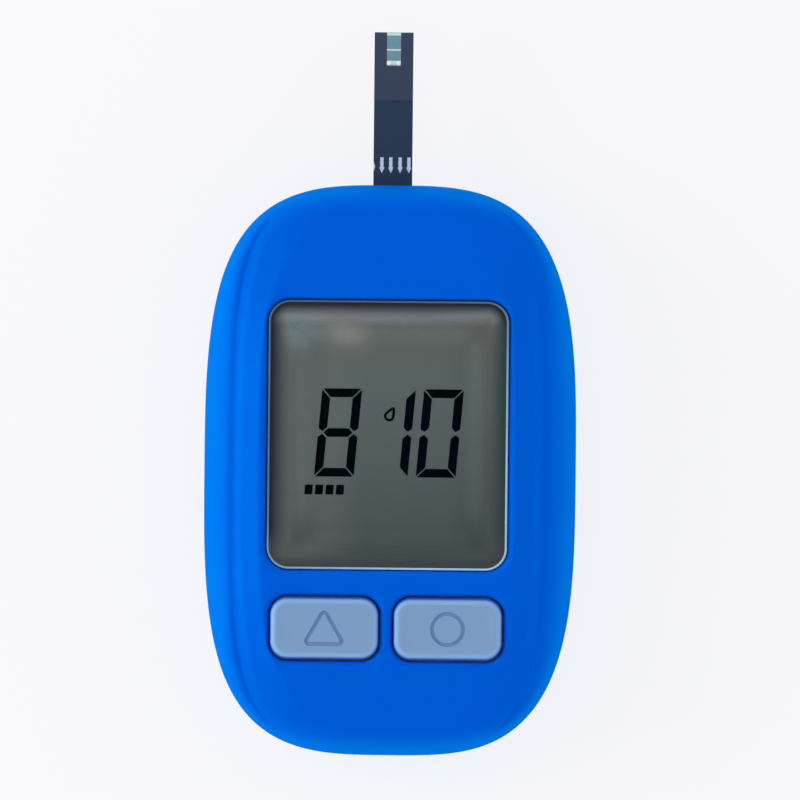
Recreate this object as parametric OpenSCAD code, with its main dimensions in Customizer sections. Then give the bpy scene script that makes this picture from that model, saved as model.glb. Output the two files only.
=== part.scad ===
// Hand-held blood lactate meter, lying on its back with the display up.
// The origin is the centre of the flat rear face. +Y points to the strip port and +Z out of the display.

/* [Case] */
// Width of the case at its widest line
case_w = 61.3; // [60:0.1:66]
// Length of the case without the strip
case_l = 94; // [92:0.5:102]
// Height of the case at the middle of its front
case_h = 23.3; // [22.8:0.1:25]
// Squareness of the outline, where 2 is an ellipse
case_squareness = 3.3; // [3.1:0.1:4]
// Height of the line where the two covers meet
split_h = 11; // [10.4:0.1:11.2]
// Thickness of the side walls
cover_wall = 2.1; // [1.9:0.1:2.3]
// Thickness of the rear wall
rear_wall = 2; // [1.8:0.1:2.4]
// Radius of the rear edge
rear_round = 3.2; // [2.4:0.1:3.6]
// How far the rear shell leans in from the split line to the rear edge
rear_draft = 0.5; // [0.2:0.1:0.8]
// Height of the lap joint between the covers
lap_h = 1.2; // [0.8:0.1:1.6]
// Thickness of the front cover's skirt at the lap joint
lap_skirt = 1.1; // [0.9:0.05:1.2]
// Clearance in the lap joint
lap_gap = 0.15; // [0.1:0.05:0.2]

/* [Front surface] */
// Width of the curved side band, from the outline to the crease
band_w = 4.9; // [4.4:0.1:5.2]
// How far the crease lies below the raised middle panel
crease_drop = 2.4; // [1.6:0.1:2.6]
// Width of the shoulder that rises from the crease to the panel
shoulder_w = 4.8; // [4:0.1:5]
// Width of the rounding at the top and bottom ends, from the outline to the panel
end_round = 5.6; // [5:0.1:6.4]
// Squareness of that rounding, where 2 is an ellipse
end_fullness = 2.8; // [2.6:0.1:3.2]
// Squareness of the edge at the corners of the case
corner_fullness = 6.3; // [4:0.1:7]
// How far the crease runs out to the edge towards the ends, where 0 keeps it parallel to the outline
crease_runout = 1.8; // [1.2:0.1:2]
// Rise of the panel from its edge to its middle
crown = 0.25; // [0.1:0.05:0.4]

/* [Display] */
// Distance of the window from the sides of the case
window_side = 10.9; // [10.7:0.1:11.5]
// Distance of the window from the top end of the case
window_top = 19.1; // [18.6:0.1:20]
// Distance between the window and the keys
window_to_keys = 4.5; // [4.4:0.1:5.2]
// Corner radius of the window
window_r = 3.6; // [3:0.1:4.2]
// Clearance round the window in its pocket
window_gap = 0.15; // [0.1:0.05:0.2]
// Thickness of the window
window_t = 1.3; // [1.1:0.1:1.4]
// Height of the window above the edge of the panel
window_proud = 0.1; // [0:0.05:0.2]
// Bevel round the window's upper edge
window_bevel = 0.35; // [0.2:0.05:0.5]
// Width of the dark border under the window's edge
border_w = 1.5; // [1.2:0.1:1.8]
// Thickness of the adhesive gasket under the window
gasket_t = 0.2; // [0.15:0.05:0.3]
// Thickness of the ledge that carries the window
ledge_t = 1.1; // [0.9:0.1:1.3]
// Thickness of each sheet of display glass
glass_t = 0.9; // [0.7:0.1:1]
// How far the glass reaches past the border on each side
glass_margin = 0.85; // [0.7:0.05:0.95]
// Length of the bare ledge of the front glass, where the contacts are
glass_ledge = 2.3; // [2:0.1:2.5]
// Thickness of the polarizer and of the reflector
film_t = 0.2; // [0.15:0.05:0.25]
// Wall of the frame that holds the glass
frame_wall = 1; // [0.9:0.05:1.1]
// Clearance round the glass in its frame
frame_gap = 0.15; // [0.1:0.05:0.2]
// Clearance between the display and the cover
display_gap = 0.3; // [0.2:0.05:0.4]

/* [Keys] */
// How far the keys' outer sides lie inside the window's sides
key_inset = 0.65; // [0.4:0.05:1]
// Distance between the two keys
key_spacing = 2.4; // [2.2:0.1:2.8]
// Length of each key
key_l = 10.4; // [9.8:0.1:10.8]
// Corner radius of each key
key_r = 2.9; // [2.4:0.1:3.2]
// Distance of the keys from the bottom end of the case
key_bottom = 15.8; // [15.6:0.1:16.2]
// Clearance between a key and its opening
key_gap = 0.35; // [0.25:0.05:0.4]
// Height of the keys above the edge of the panel
key_proud = 0.75; // [0.4:0.05:1]
// Bevel round the keys' upper edge
key_bevel = 0.65; // [0.4:0.05:0.8]
// Travel of the keys
key_travel = 0.8; // [0.6:0.05:0.9]
// How far the flange that holds a key in reaches under the cover
flange_reach = 0.35; // [0.3:0.05:0.4]
// Thickness of that flange
flange_t = 1; // [0.8:0.1:1.1]
// Thickness of the silicone mat
mat_t = 0.9; // [0.7:0.1:1]
// Thickness of the wall of the silicone domes
dome_wall = 0.5; // [0.4:0.05:0.6]
// Radius of the contact pills
pill_r = 2.5; // [2.2:0.1:2.6]
// Thickness of the contact pills
pill_t = 0.5; // [0.4:0.05:0.6]

/* [Cells and door] */
// Diameter of each AAA cell
cell_d = 10.5; // [10.3:0.1:10.6]
// Length of each cell over its button
cell_l = 44.5; // [44:0.1:44.6]
// Clearance round the cells
cell_gap = 0.25; // [0.15:0.05:0.3]
// Room for a compressed contact spring
spring_room = 3.85; // [3.6:0.05:4]
// Wire of the contact springs
spring_wire = 0.5; // [0.4:0.05:0.55]
// Thickness of the contact plates
contact_t = 0.4; // [0.3:0.05:0.5]
// Walls of the battery bay
bay_wall = 1.2; // [1.1:0.05:1.3]
// Roof of the battery bay
bay_roof = 0.8; // [0.6:0.05:0.9]
// Distance of the battery bay's middle below the case's middle
bay_y = 14.2; // [14:0.1:14.6]
// Thickness of the battery door
door_t = 1.6; // [1.5:0.05:1.7]
// How far the door lies inside the rear face
door_recess = 0.1; // [0.05:0.05:0.2]
// Clearance round the door
door_gap = 0.2; // [0.15:0.05:0.25]
// Ledge that the door closes on
door_ledge = 1; // [0.9:0.05:1.1]
// Angle that the door opens to
door_open = 60; // [30:1:60]

/* [Board and screws] */
// Thickness of the circuit board
board_t = 1.6; // [1.2:0.1:1.6]
// Distance of the board's edge from the outline of the case
board_inset = 3.3; // [3.1:0.1:3.5]
// Distance of the screws from the case's outline, sideways
screw_inset_x = 10.85; // [10.6:0.05:11.2]
// Distance of the screws from the ends of the case
screw_inset_y = 11.5; // [11.3:0.1:12]
// Radius of the screws
screw_r = 1.1; // [1:0.05:1.2]
// Length of the screws under the head
screw_l = 9; // [7:0.5:10]
// Radius of the screw heads
screw_head_r = 2.1; // [1.9:0.1:2.2]
// Height of the screw heads
screw_head_h = 1.3; // [1.2:0.1:1.5]
// Depth of the screw heads below the rear face
screw_depth = 2; // [1.6:0.1:2.4]

/* [Test strip] */
// Width of the strip
strip_w = 6.4; // [6:0.1:6.8]
// Length of the strip
strip_l = 34.5; // [33:0.5:38]
// Length of the strip inside the case
strip_inserted = 9.3; // [9:0.1:9.6]
// Thickness of the strip's base
strip_base_t = 0.35; // [0.3:0.05:0.4]
// Thickness of the strip's upper layers
strip_layer_t = 0.1; // [0.08:0.01:0.12]
// Length of the upper layers, from the tip
strip_cover_l = 11.2; // [10:0.1:14]
// Width of the sample window
sample_w = 2.3; // [2:0.1:2.8]
// Length of the sample window
sample_l = 5.5; // [4.5:0.1:6]
// Clearance above and below the strip in its port
port_gap = 0.45; // [0.35:0.05:0.5]
// Clearance beside the strip in its port
port_side_gap = 0.4; // [0.3:0.05:0.5]
// Number of contact springs in the port
port_contacts = 5; // [4:1:5]

/* [Hidden] */
$fn = 64;
// How far cutting shapes reach past what they cut, and how far joined shapes reach into each other
cut = 1;
join = 0.02;

// Heights that follow from the rear face upwards
cell_z = door_recess + door_t + cell_gap + cell_d / 2;
bay_top = cell_z + cell_d / 2 + cell_gap;
board_seat = 0.1;
board_z = bay_top + bay_roof + board_seat;
board_top = board_z + board_t;

// Heights that follow from the front panel downwards
panel_z = case_h - crown;
crease_z = panel_z - crease_drop;
window_z = panel_z + window_proud - window_t;
ledge_z = window_z - gasket_t;
ceiling_z = ledge_z - ledge_t;
polarizer_z = ceiling_z - display_gap - film_t;
front_glass_z = polarizer_z - glass_t;
rear_glass_z = front_glass_z - glass_t;
reflector_z = rear_glass_z - film_t;
room_under_glass = reflector_z - board_top;

// Case outline: every ring is a rounded outline with its own insets and heights at the sides and the ends
ring_steps = 72;
ring_angles = [for (i = [0:ring_steps - 1]) 360 * i / ring_steps];
function mix(a, b, t) = a + (b - a) * t;
function signed_power(v, e) = sign(v) * pow(abs(v), e);
function outline_point(side_inset, end_inset, a) = [
    (case_w / 2 - side_inset) * signed_power(cos(a), 2 / case_squareness),
    (case_l / 2 - end_inset) * signed_power(sin(a), 2 / case_squareness)
];
function outline(inset) = [for (a = ring_angles) outline_point(inset, inset, a)];
function ring(side_inset, end_inset, side_z, end_z) = [
    for (a = ring_angles)
        let (p = outline_point(side_inset, end_inset, a))
        [p.x, p.y, mix(end_z, side_z, pow(cos(a), 2))]
];
function level_ring(inset, z) = ring(inset, inset, z, z);

// Closed shell through a list of rings, with a flat cap on the first and on the last
module shell(rings) {
    last = (len(rings) - 1) * ring_steps;
    bands = [
        for (k = [0:len(rings) - 2], i = [0:ring_steps - 1])
            let (low = k * ring_steps, high = low + ring_steps, j = (i + 1) % ring_steps)
            each [[low + i, high + i, high + j], [low + i, high + j, low + j]]
    ];
    first_cap = [for (i = [0:ring_steps - 1]) i];
    last_cap = [for (i = [ring_steps - 1:-1:0]) last + i];
    polyhedron([for (r = rings) each r], concat([first_cap], bands, [last_cap]));
}

// Inside of the front cover: an elliptic arc from the lap joint to the flat ceiling
arc_steps = 8;
lap_top = split_h + lap_h + lap_gap;
ceiling_side = band_w + shoulder_w;
ceiling_end = end_round + cover_wall;
function cavity_rings(grow) = [
    for (k = [arc_steps:-1:0])
        let (a = 90 * k / arc_steps, z = mix(lap_top, ceiling_z, sin(a)) + grow)
        ring(
            mix(cover_wall, ceiling_side, 1 - cos(a)) - grow,
            mix(cover_wall, ceiling_end, 1 - cos(a)) - grow,
            z, z
        )
];

// Outside of the front cover: one rounded edge, with a dip along the sides that makes the band, the crease
// and the shoulder. The dip fades at the corners, where the crease runs out to the edge.
shoulder_steps = 5;
crown_steps = 3;
panel_tip = 3;
edge_w = band_w + shoulder_w;
fade_start = 0.2;
fade_end = 0.95;
function smooth(t) = let (c = min(max(t, 0), 1)) c * c * (3 - 2 * c);
function shoulder_rise(t) = (smooth(t) + sin(90 * t)) / 2;
function edge_height(q, fullness) = mix(split_h, panel_z, pow(1 - pow(1 - q, fullness), 1 / fullness));
function fullness_at(a) = mix(end_fullness, corner_fullness, pow(sin(2 * a), 4));
function dip_at(a) = smooth((abs(cos(a)) - fade_start) / (fade_end - fade_start));
function runout_at(a) = 1 + crease_runout * pow(abs(sin(a)), 2.5);
function edge_ring(u, side_z) = [
    for (a = ring_angles)
        let (
            q = pow(u, runout_at(a)),
            p = outline_point(edge_w * q, end_round * q, a),
            dip = dip_at(a) * (edge_height(u, end_fullness) - side_z)
        )
        [p.x, p.y, edge_height(q, fullness_at(a)) - dip]
];
band_rings = [
    for (k = [0:arc_steps])
        let (a = 90 * k / arc_steps)
        edge_ring(band_w * (1 - cos(a)) / edge_w, mix(split_h, crease_z, sin(a)))
];
shoulder_rings = [
    for (k = [1:shoulder_steps])
        let (t = k / shoulder_steps)
        edge_ring((band_w + shoulder_w * t) / edge_w, mix(crease_z, panel_z, shoulder_rise(t)))
];
crown_rings = [
    for (k = [1:crown_steps])
        let (t = k / crown_steps, z = mix(panel_z, case_h, 1 - pow(1 - t, 2)))
        ring(
            mix(ceiling_side, case_w / 2 - panel_tip, t),
            mix(end_round, case_l / 2 - panel_tip, t),
            z, z
        )
];

// The rear shell's inner floor, and the radius where it meets the side walls
floor_round = rear_round + rear_draft - cover_wall + 1;
round_steps = 5;

// Window between the top end and the keys, then the glass and the frame under it
window_w = case_w - 2 * window_side;
window_l = case_l - window_top - window_to_keys - key_l - key_bottom;
window_y = case_l / 2 - window_top - window_l / 2;
view_w = window_w - 2 * border_w;
view_l = window_l - 2 * border_w;
view_r = window_r - border_w / 2;
film_margin = glass_margin / 2;
film_r = 0.5;
gasket_inset = 0.2;
glass_w = view_w + 2 * glass_margin;
glass_seal = 0.2;
rear_glass_l = view_l + 2 * glass_margin + glass_seal;
front_glass_l = rear_glass_l + glass_ledge;
front_glass_y = window_y + glass_ledge / 2;
frame_w = glass_w + 2 * frame_gap + 2 * frame_wall;
frame_l = front_glass_l + 2 * frame_gap + 2 * frame_wall;
frame_r = 1.4;
frame_rest = 1.3;
frame_tray = 0.5;
frame_skirt = 0.7;
zebra_w = glass_w * 0.84;
zebra_l = glass_ledge * 0.78;
zebra_wall = 1;
zebra_y = window_y + rear_glass_l / 2 + glass_ledge / 2;
clip_ys = [window_y - view_l / 20, window_y + view_l * 0.44];
frame_hollow_from = front_glass_y - frame_l / 2 + frame_skirt;
frame_hollow_to = zebra_y - zebra_l / 2 - frame_gap - zebra_wall;
clip_w = 2.4;
clip_t = 1;
clip_x = frame_w / 2 - clip_t / 2;
clip_gap = 0.25;
barb_reach = 0.45;
clip_hole_w = clip_t + barb_reach + 2 * clip_gap;
barb_l = 0.9;

// Keys, side by side under the window, from the board up
key_w = window_w / 2 - key_inset - key_spacing / 2;
key_pitch = key_w + key_spacing;
key_y = case_l / 2 - key_bottom - key_l / 2;
key_sides = [-1, 1];
mat_top = board_top + mat_t;
pill_gap = 0.15;
pill_z = board_top + key_travel + pill_gap;
flange_clear = 0.2;
flange_top = ceiling_z - flange_clear;
flange_z = flange_top - flange_t;
flange_w = key_w + 2 * key_gap + 2 * flange_reach;
flange_l = key_l + 2 * key_gap + 2 * flange_reach;
flange_r = key_r + key_gap + flange_reach;
well_gap = 0.25;
well_wall = 0.8;
well_clear = 0.1;
plunger_r = pill_r + 0.1;
dome_top_r = plunger_r + 0.5;
dome_base_r = key_l / 2 - dome_wall;
dome_lip = 0.5;
dome_clear = 0.05;
dome_top = flange_z - dome_clear;
mat_w = key_pitch + flange_w + 1.4;
mat_l = flange_l + 0.4;
mat_r = 2.8;

// Cells, contacts and bay. The upper cell's button points to +X and the lower one's to -X.
cell_pitch = cell_d + 2 * cell_gap;
cell_ys = [-bay_y + cell_pitch / 2, -bay_y - cell_pitch / 2];
cell_dirs = [1, -1];
button_h = 0.9;
button_r = 1.9;
contact_clear = 0.05;
rib_gap = 0.1;
bay_len = cell_l + spring_room + 2 * contact_clear;
bay_w = 2 * cell_pitch + 2 * cell_gap;
bay_front_y = -bay_y + bay_w / 2;
bay_back_y = -bay_y - bay_w / 2;
bay_base = rear_wall / 2;
ledge_bottom = door_recess + door_t + 0.1;
plate_w = 9;
plate_z = ledge_bottom + 0.6;
plate_x = bay_len / 2 + contact_t / 2;
plate_gap = 0.1;
tail_w = 2;
tail_end = 0.5;
spring_base_r = 3.4;
spring_top_r = 2.2;
spring_turns = 3.5;
spring_sides = 6;
spring_steps = 28;

// Door: hook tabs at the front edge, a U-shaped latch tongue at the back edge
opening_w = bay_len + 2 * door_ledge;
opening_l = bay_w + 2 * door_ledge;
opening_r = 2.2;
door_w = opening_w - 2 * door_gap;
door_l = opening_l - 2 * door_gap;
door_front_y = -bay_y + door_l / 2;
hinge_y = door_front_y + door_gap / 2;
hook_x = 14;
hook_w = 6;
hook_t = 0.8;
hook_reach = 1.6;
hook_gap = 0.15;
hook_side_gap = 0.3;
hook_room = 1.4;
hook_z = rear_wall + hook_gap;
latch_room = 2.8;
latch_side_gap = 1;
latch_head = 0.6;
latch_w = 7.4;
latch_t = 0.7;
latch_bend_r = 0.75;
latch_tab_w = latch_w + 6;
opening_tab_y = -bay_y - opening_l / 2 - latch_room;
door_tab_y = opening_tab_y + door_gap;
latch_rise = 2.9;
latch_top = door_recess + door_t + latch_rise;
latch_outer_y = door_tab_y + 0.45 + latch_t / 2;
latch_inner_y = latch_outer_y + 2 * latch_bend_r;
latch_notch = 0.4;
latch_box_w = latch_w + 2 * latch_side_gap;
latch_box_top = latch_top + latch_head;
scoop_r = 9;
scoop_depth = 1.1;
grip_grooves = 5;
grip_pitch = 1.6;
grip_w = 14;
grip_depth = 0.3;

// Screws, bosses and board posts
screw_x = case_w / 2 - screw_inset_x;
screw_y = case_l / 2 - screw_inset_y;
screw_places = [for (sx = [-1, 1], sy = [-1, 1]) [sx * screw_x, sy * screw_y]];
screw_tip = 1;
drive_w = 0.5;
pilot_gap = 0.05;
shank_gap = 0.2;
head_gap = 0.3;
tower_r = screw_head_r + 1;
head_top = screw_depth + screw_head_h;
tower_top = head_top + 3;
boss_r = 2.6;
boss_shoulder_r = 3.3;
boss_z = tower_top + 0.2;
post_r = 1.7;
post_pin_r = 0.8;
post_gap = 0.15;
hole_gap = 0.25;
tail_gap = 0.15;
post_inset_x = 7.4;
post_inset_y = 8.5;
post_places = [
    for (side = [-1, 1])
        each [
            [side * (case_w / 2 - post_inset_x), window_y + view_l / 5],
            [side * screw_x * 0.6, -(case_l / 2 - post_inset_y)]
        ]
];

// Strip and its port
strip_z = split_h + port_gap;
strip_spacer_z = strip_z + strip_base_t;
strip_cover_z = strip_spacer_z + strip_layer_t;
strip_t = strip_base_t + 2 * strip_layer_t;
strip_tip = case_l / 2 - strip_inserted + strip_l;
strip_end = case_l / 2 - strip_inserted;
port_w = strip_w + 2 * port_side_gap;
port_top = strip_z + strip_t + port_gap;
port_flare = 0.5;
connector_w = strip_w + 4.4;
connector_y = case_l / 2 - cover_wall - 0.3;
connector_l = 11.3;
connector_z = strip_z - 1.2;
slot_gap = 0.15;
slot_depth = connector_y - strip_end + 0.3;
contact_pitch = 1.1;
contact_xs = [for (i = [0:port_contacts - 1]) (i - (port_contacts - 1) / 2) * contact_pitch];
contact_w = 0.6;
channel_gap = 0.1;
leaf_t = 0.2;
leaf_rise = 0.1;

// Chips under the board, between the battery bay and the strip's port: width, length and height of each
processor_size = [10, 10, 1.4];
processor_pitch = 0.65;
processor_legs = 12;
memory_size = [3.9, 4.9, 1.5];
memory_pitch = 1.27;
memory_legs = 4;
analog_size = [4.4, 5, 1.1];
analog_legs = 8;
leg_t = 0.2;
leg_reach = 0.9;
chip_spacing = 1.8;
processor_x = view_w * 0.11;
processor_y = window_y + view_l * 0.15;
processor_end = processor_size.y / 2 + leg_reach;
memory_x = processor_x + processor_end + chip_spacing + leg_reach + memory_size.x / 2;
analog_y = connector_y - connector_l - analog_size.y * 1.2;
can_r = 1;
can_l = 6;
crystal_y = processor_y + processor_end + can_r + leg_reach * 1.5;
wire_t = 0.3;
wire_l = 1.2;
small_part = [1.6, 0.8, 0.6];
small_pitch = 2 * small_part.x;
small_row = 6;
beeper_r = 4.6;
beeper_h = 2.6;

// Plates and other flat shapes
module rounded_rect(w, l, r) {
    square([w - 2 * r, l], center = true);
    square([w, l - 2 * r], center = true);
    for (sx = [-1, 1], sy = [-1, 1])
        translate([sx * (w / 2 - r), sy * (l / 2 - r)])
            circle(r);
}

module rounded_plate(w, l, r, t) {
    linear_extrude(t)
        rounded_rect(w, l, r);
}

// Plate with a bevel round its upper edge
module bevelled_plate(w, l, r, t, bevel) {
    hull() {
        rounded_plate(w, l, r, t - bevel, $fn = 32);
        rounded_plate(w - 2 * bevel, l - 2 * bevel, r - bevel, t, $fn = 32);
    }
}

module box(w, l, h) {
    translate([-w / 2, -l / 2, 0])
        cube([w, l, h]);
}

// Band of even thickness along a path, as a polygon
function unit(v) = v / norm(v);
function path_normal(path, i) =
    let (
        before = path[max(i - 1, 0)],
        after = path[min(i + 1, len(path) - 1)],
        d = unit(after - before)
    )
    [-d.y, d.x];
function band_outline(path, t) = concat(
    [for (i = [0:len(path) - 1]) path[i] + path_normal(path, i) * t / 2],
    [for (i = [len(path) - 1:-1:0]) path[i] - path_normal(path, i) * t / 2]
);
function arc(centre, r, from, to, steps) = [
    for (i = [0:steps])
        let (a = mix(from, to, i / steps))
        centre + r * [cos(a), sin(a)]
];

// Extrudes a profile drawn in Y and Z along X, centred
module along_x(w) {
    translate([-w / 2, 0, 0])
        rotate([90, 0, 90])
            linear_extrude(w)
                children();
}

module at_screws() {
    for (p = screw_places)
        translate([p.x, p.y, 0])
            children();
}

module at_keys() {
    for (side = key_sides)
        translate([side * key_pitch / 2, -key_y, 0])
            children();
}

// Covers
module front_cover() {
    color("royalblue")
        difference() {
            union() {
                shell(concat(
                    cavity_rings(0),
                    [level_ring(lap_skirt, lap_top), level_ring(lap_skirt, split_h)],
                    band_rings, shoulder_rings, crown_rings
                ));
                intersection() {
                    union() {
                        screw_bosses();
                        key_wells();
                    }
                    inner_limit();
                }
            }
            window_cut();
            key_cuts();
            at_screws()
                translate([0, 0, boss_z - cut])
                    cylinder(r = screw_r + pilot_gap, h = screw_l + head_top - boss_z + 1 + cut);
            port_cut();
        }
}

// Limit for what stands inside the front cover, part of a wall deep in its wall
module inner_limit() {
    sunk = 0.7;
    shell(concat(
        [level_ring(cover_wall, boss_z - cut), level_ring(cover_wall, lap_top)],
        [for (k = [arc_steps:-1:0]) cavity_rings(sunk)[k]]
    ));
}

module screw_bosses() {
    at_screws() {
        translate([0, 0, boss_z])
            cylinder(r = boss_r, h = case_h - boss_z);
        translate([0, 0, board_top])
            cylinder(r = boss_shoulder_r, h = case_h - board_top);
    }
}

module key_wells() {
    translate([0, -key_y, mat_top + well_clear])
        rounded_plate(
            key_pitch + flange_w + 2 * well_gap + 2 * well_wall, flange_l + 2 * well_gap + 2 * well_wall,
            flange_r + well_gap, case_h - mat_top
        );
}

module window_cut() {
    translate([0, window_y, ledge_z])
        rounded_plate(window_w + 2 * window_gap, window_l + 2 * window_gap, window_r + window_gap, case_h);
    translate([0, window_y, ceiling_z - cut])
        rounded_plate(view_w, view_l, view_r, case_h);
}

module key_cuts() {
    at_keys() {
        rounded_plate(key_w + 2 * key_gap, key_l + 2 * key_gap, key_r + key_gap, case_h + cut);
        rounded_plate(flange_w + 2 * well_gap, flange_l + 2 * well_gap, flange_r + well_gap, ceiling_z);
    }
}

// Slot for the strip, with a flared mouth
module port_cut() {
    depth = cover_wall + cut;
    translate([0, case_l / 2 - depth / 2 - cover_wall / 2, split_h - cut])
        box(port_w, depth + cover_wall, port_top - split_h + cut);
    along_x(port_w + 2 * port_flare)
        polygon([
            [case_l / 2 - 2 * port_flare, split_h - cut],
            [case_l / 2 - 2 * port_flare, port_top],
            [case_l / 2 + cut, port_top + 2 * port_flare + cut],
            [case_l / 2 + cut, split_h - cut]
        ]);
}

module rear_cover() {
    color("mediumblue")
        difference() {
            union() {
                shell(concat(rear_outside(), rear_inside()));
                bay_block();
                at_screws()
                    translate([0, 0, bay_base])
                        cylinder(r = tower_r, h = tower_top - bay_base);
                board_posts();
            }
            bay_cuts();
            door_opening();
            at_screws() {
                translate([0, 0, -cut])
                    cylinder(r = screw_head_r + head_gap, h = head_top + cut);
                cylinder(r = screw_r + shank_gap, h = tower_top + cut);
            }
            finger_scoop();
            translate([0, case_l / 2 - cover_wall / 2, split_h])
                box(port_w + 2 * port_flare, 2 * cover_wall, lap_h + cut);
        }
    color("mediumblue")
        cell_cradle();
}

function rear_outside() = concat(
    [
        for (k = [0:round_steps])
            let (a = 90 * k / round_steps)
            level_ring(rear_draft + rear_round * (1 - sin(a)), rear_round * (1 - cos(a)))
    ],
    [
        level_ring(0, split_h),
        level_ring(lap_skirt + lap_gap, split_h),
        level_ring(lap_skirt + lap_gap, split_h + lap_h)
    ]
);
function rear_inside() = concat(
    [level_ring(cover_wall, split_h + lap_h), level_ring(cover_wall, split_h)],
    [
        for (k = [0:round_steps])
            let (a = 90 * k / round_steps)
            level_ring(
                cover_wall + rear_draft + floor_round * (1 - cos(a)),
                rear_wall + floor_round * (1 - sin(a))
            )
    ]
);

module bay_block() {
    translate([0, -bay_y, bay_base])
        box(bay_len + 2 * bay_wall, bay_w + 2 * bay_wall, bay_top + bay_roof - bay_base);
    translate([0, (bay_back_y + opening_tab_y - bay_wall) / 2, bay_base])
        box(
            latch_box_w + 2 * bay_wall, bay_back_y - opening_tab_y + bay_wall,
            latch_box_top + bay_wall - bay_base
        );
}

module bay_cuts() {
    translate([0, -bay_y, -cut])
        box(bay_len, bay_w, bay_top + cut);
    // Room behind the back wall for the latch tongue
    translate([0, (bay_back_y + opening_tab_y) / 2, -cut])
        box(latch_box_w, bay_back_y - opening_tab_y + join, latch_box_top + cut);
    // Slots for the door's hook tabs
    for (side = [-1, 1])
        translate([side * hook_x, bay_front_y + bay_wall / 2, ledge_bottom])
            box(hook_w + 2 * hook_side_gap, bay_wall + join, hook_z + hook_t + hook_room - ledge_bottom);
    // Pockets for the contact plates, open to the board for their tails
    for (i = [0, 1]) {
        translate([plate_x, cell_ys[i], plate_z])
            box(contact_t + join, plate_w + 2 * plate_gap, bay_top - plate_z);
        translate([plate_x, cell_ys[i], plate_z])
            box(contact_t + join, tail_w + 2 * tail_gap, board_z - plate_z);
    }
    translate([-plate_x, -bay_y, plate_z])
        box(contact_t + join, cell_pitch + plate_w + 2 * plate_gap, bay_top - plate_z);
}

module door_opening() {
    translate([0, -bay_y, -cut])
        rounded_plate(opening_w, opening_l, opening_r, ledge_bottom + cut);
    translate([0, (opening_tab_y - bay_y) / 2, -cut])
        box(latch_tab_w + 2 * door_gap, -bay_y - opening_tab_y, ledge_bottom + cut);
}

// Finger scoop in the rear face, beside the latch
module finger_scoop() {
    translate([0, opening_tab_y - 0.5, scoop_depth - scoop_r])
        sphere(scoop_r);
}

module board_posts() {
    for (p = post_places)
        translate([p.x, p.y, bay_base]) {
            cylinder(r = post_r, h = board_z - bay_base);
            cylinder(r = post_pin_r, h = board_z + board_t * 0.8 - bay_base);
        }
}

// Ribs under the bay's roof that the cells lie against
module cell_cradle() {
    for (side = [-1, 1])
        difference() {
            translate([side * cell_l / 4, -bay_y, cell_z])
                box(bay_wall, bay_w, bay_top - cell_z);
            for (y = cell_ys)
                translate([-cell_l, y, cell_z])
                    rotate([0, 90, 0])
                        cylinder(r = cell_d / 2 + rib_gap, h = 2 * cell_l);
        }
}

module case_screws() {
    color("silver")
        at_screws()
            difference() {
                union() {
                    translate([0, 0, screw_depth])
                        cylinder(r = screw_head_r, h = screw_head_h);
                    translate([0, 0, head_top])
                        cylinder(r = screw_r, h = screw_l - screw_tip);
                    translate([0, 0, head_top + screw_l - screw_tip])
                        cylinder(r1 = screw_r, r2 = screw_r / 2, h = screw_tip);
                }
                for (turn = [0, 90])
                    rotate([0, 0, turn])
                        translate([0, 0, screw_depth - cut])
                            box(screw_head_r * 1.3, drive_w, screw_head_h * 0.6 + cut);
            }
}

// Window and display
module window_lens() {
    color("lightcyan", 0.4)
        translate([0, window_y, window_z])
            bevelled_plate(window_w, window_l, window_r, window_t, window_bevel);
}

module lens_gasket() {
    color("black")
        translate([0, window_y, ledge_z])
            linear_extrude(gasket_t)
                difference() {
                    rounded_rect(
                        window_w - 2 * gasket_inset, window_l - 2 * gasket_inset, window_r - gasket_inset
                    );
                    rounded_rect(view_w, view_l, view_r);
                }
}

module lcd_polarizer() {
    color("darkseagreen")
        translate([0, window_y, polarizer_z])
            rounded_plate(view_w + 2 * film_margin, view_l + 2 * film_margin, film_r, film_t);
}

module lcd_front_glass() {
    color("lightcyan", 0.4)
        translate([0, front_glass_y, front_glass_z])
            box(glass_w, front_glass_l, glass_t);
}

module lcd_rear_glass() {
    color("lightcyan", 0.4)
        translate([0, window_y, rear_glass_z])
            box(glass_w, rear_glass_l, glass_t);
}

module lcd_reflector() {
    color("darkgray")
        translate([0, window_y, reflector_z])
            rounded_plate(view_w + 2 * film_margin, view_l + 2 * film_margin, film_r, film_t);
}

module lcd_frame() {
    color("white") {
        difference() {
            translate([0, front_glass_y, board_top])
                rounded_plate(frame_w, frame_l, frame_r, polarizer_z - board_top);
            translate([0, front_glass_y, reflector_z])
                box(glass_w + 2 * frame_gap, front_glass_l + 2 * frame_gap, case_h);
            translate([0, window_y, board_top - cut])
                box(glass_w - 2 * frame_rest, rear_glass_l - 2 * frame_rest, case_h);
            translate([0, zebra_y, board_top - cut])
                box(zebra_w + 2 * frame_gap, zebra_l + 2 * frame_gap, case_h);
            translate([0, (frame_hollow_from + frame_hollow_to) / 2, board_top - cut])
                box(
                    frame_w - 2 * frame_skirt, frame_hollow_to - frame_hollow_from,
                    room_under_glass - frame_tray + cut
                );
        }
        for (side = [-1, 1], y = clip_ys)
            clip_leg(side, y);
    }
}

// Leg that passes through the board and hooks under it
module clip_leg(side, y) {
    barb_z = board_z - board_seat;
    barb_x = clip_t / 2 + barb_reach;
    translate([side * clip_x, y, 0])
        rotate([0, 0, side > 0 ? 0 : 180])
            translate([0, clip_w / 2, 0])
                rotate([90, 0, 0])
                    linear_extrude(clip_w)
                        polygon([
                            [-clip_t / 2, board_top], [-clip_t / 2, barb_z - barb_l], [0, barb_z - barb_l],
                            [barb_x, barb_z - barb_l / 4], [barb_x, barb_z],
                            [clip_t / 2, barb_z], [clip_t / 2, board_top]
                        ]);
}

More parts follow.
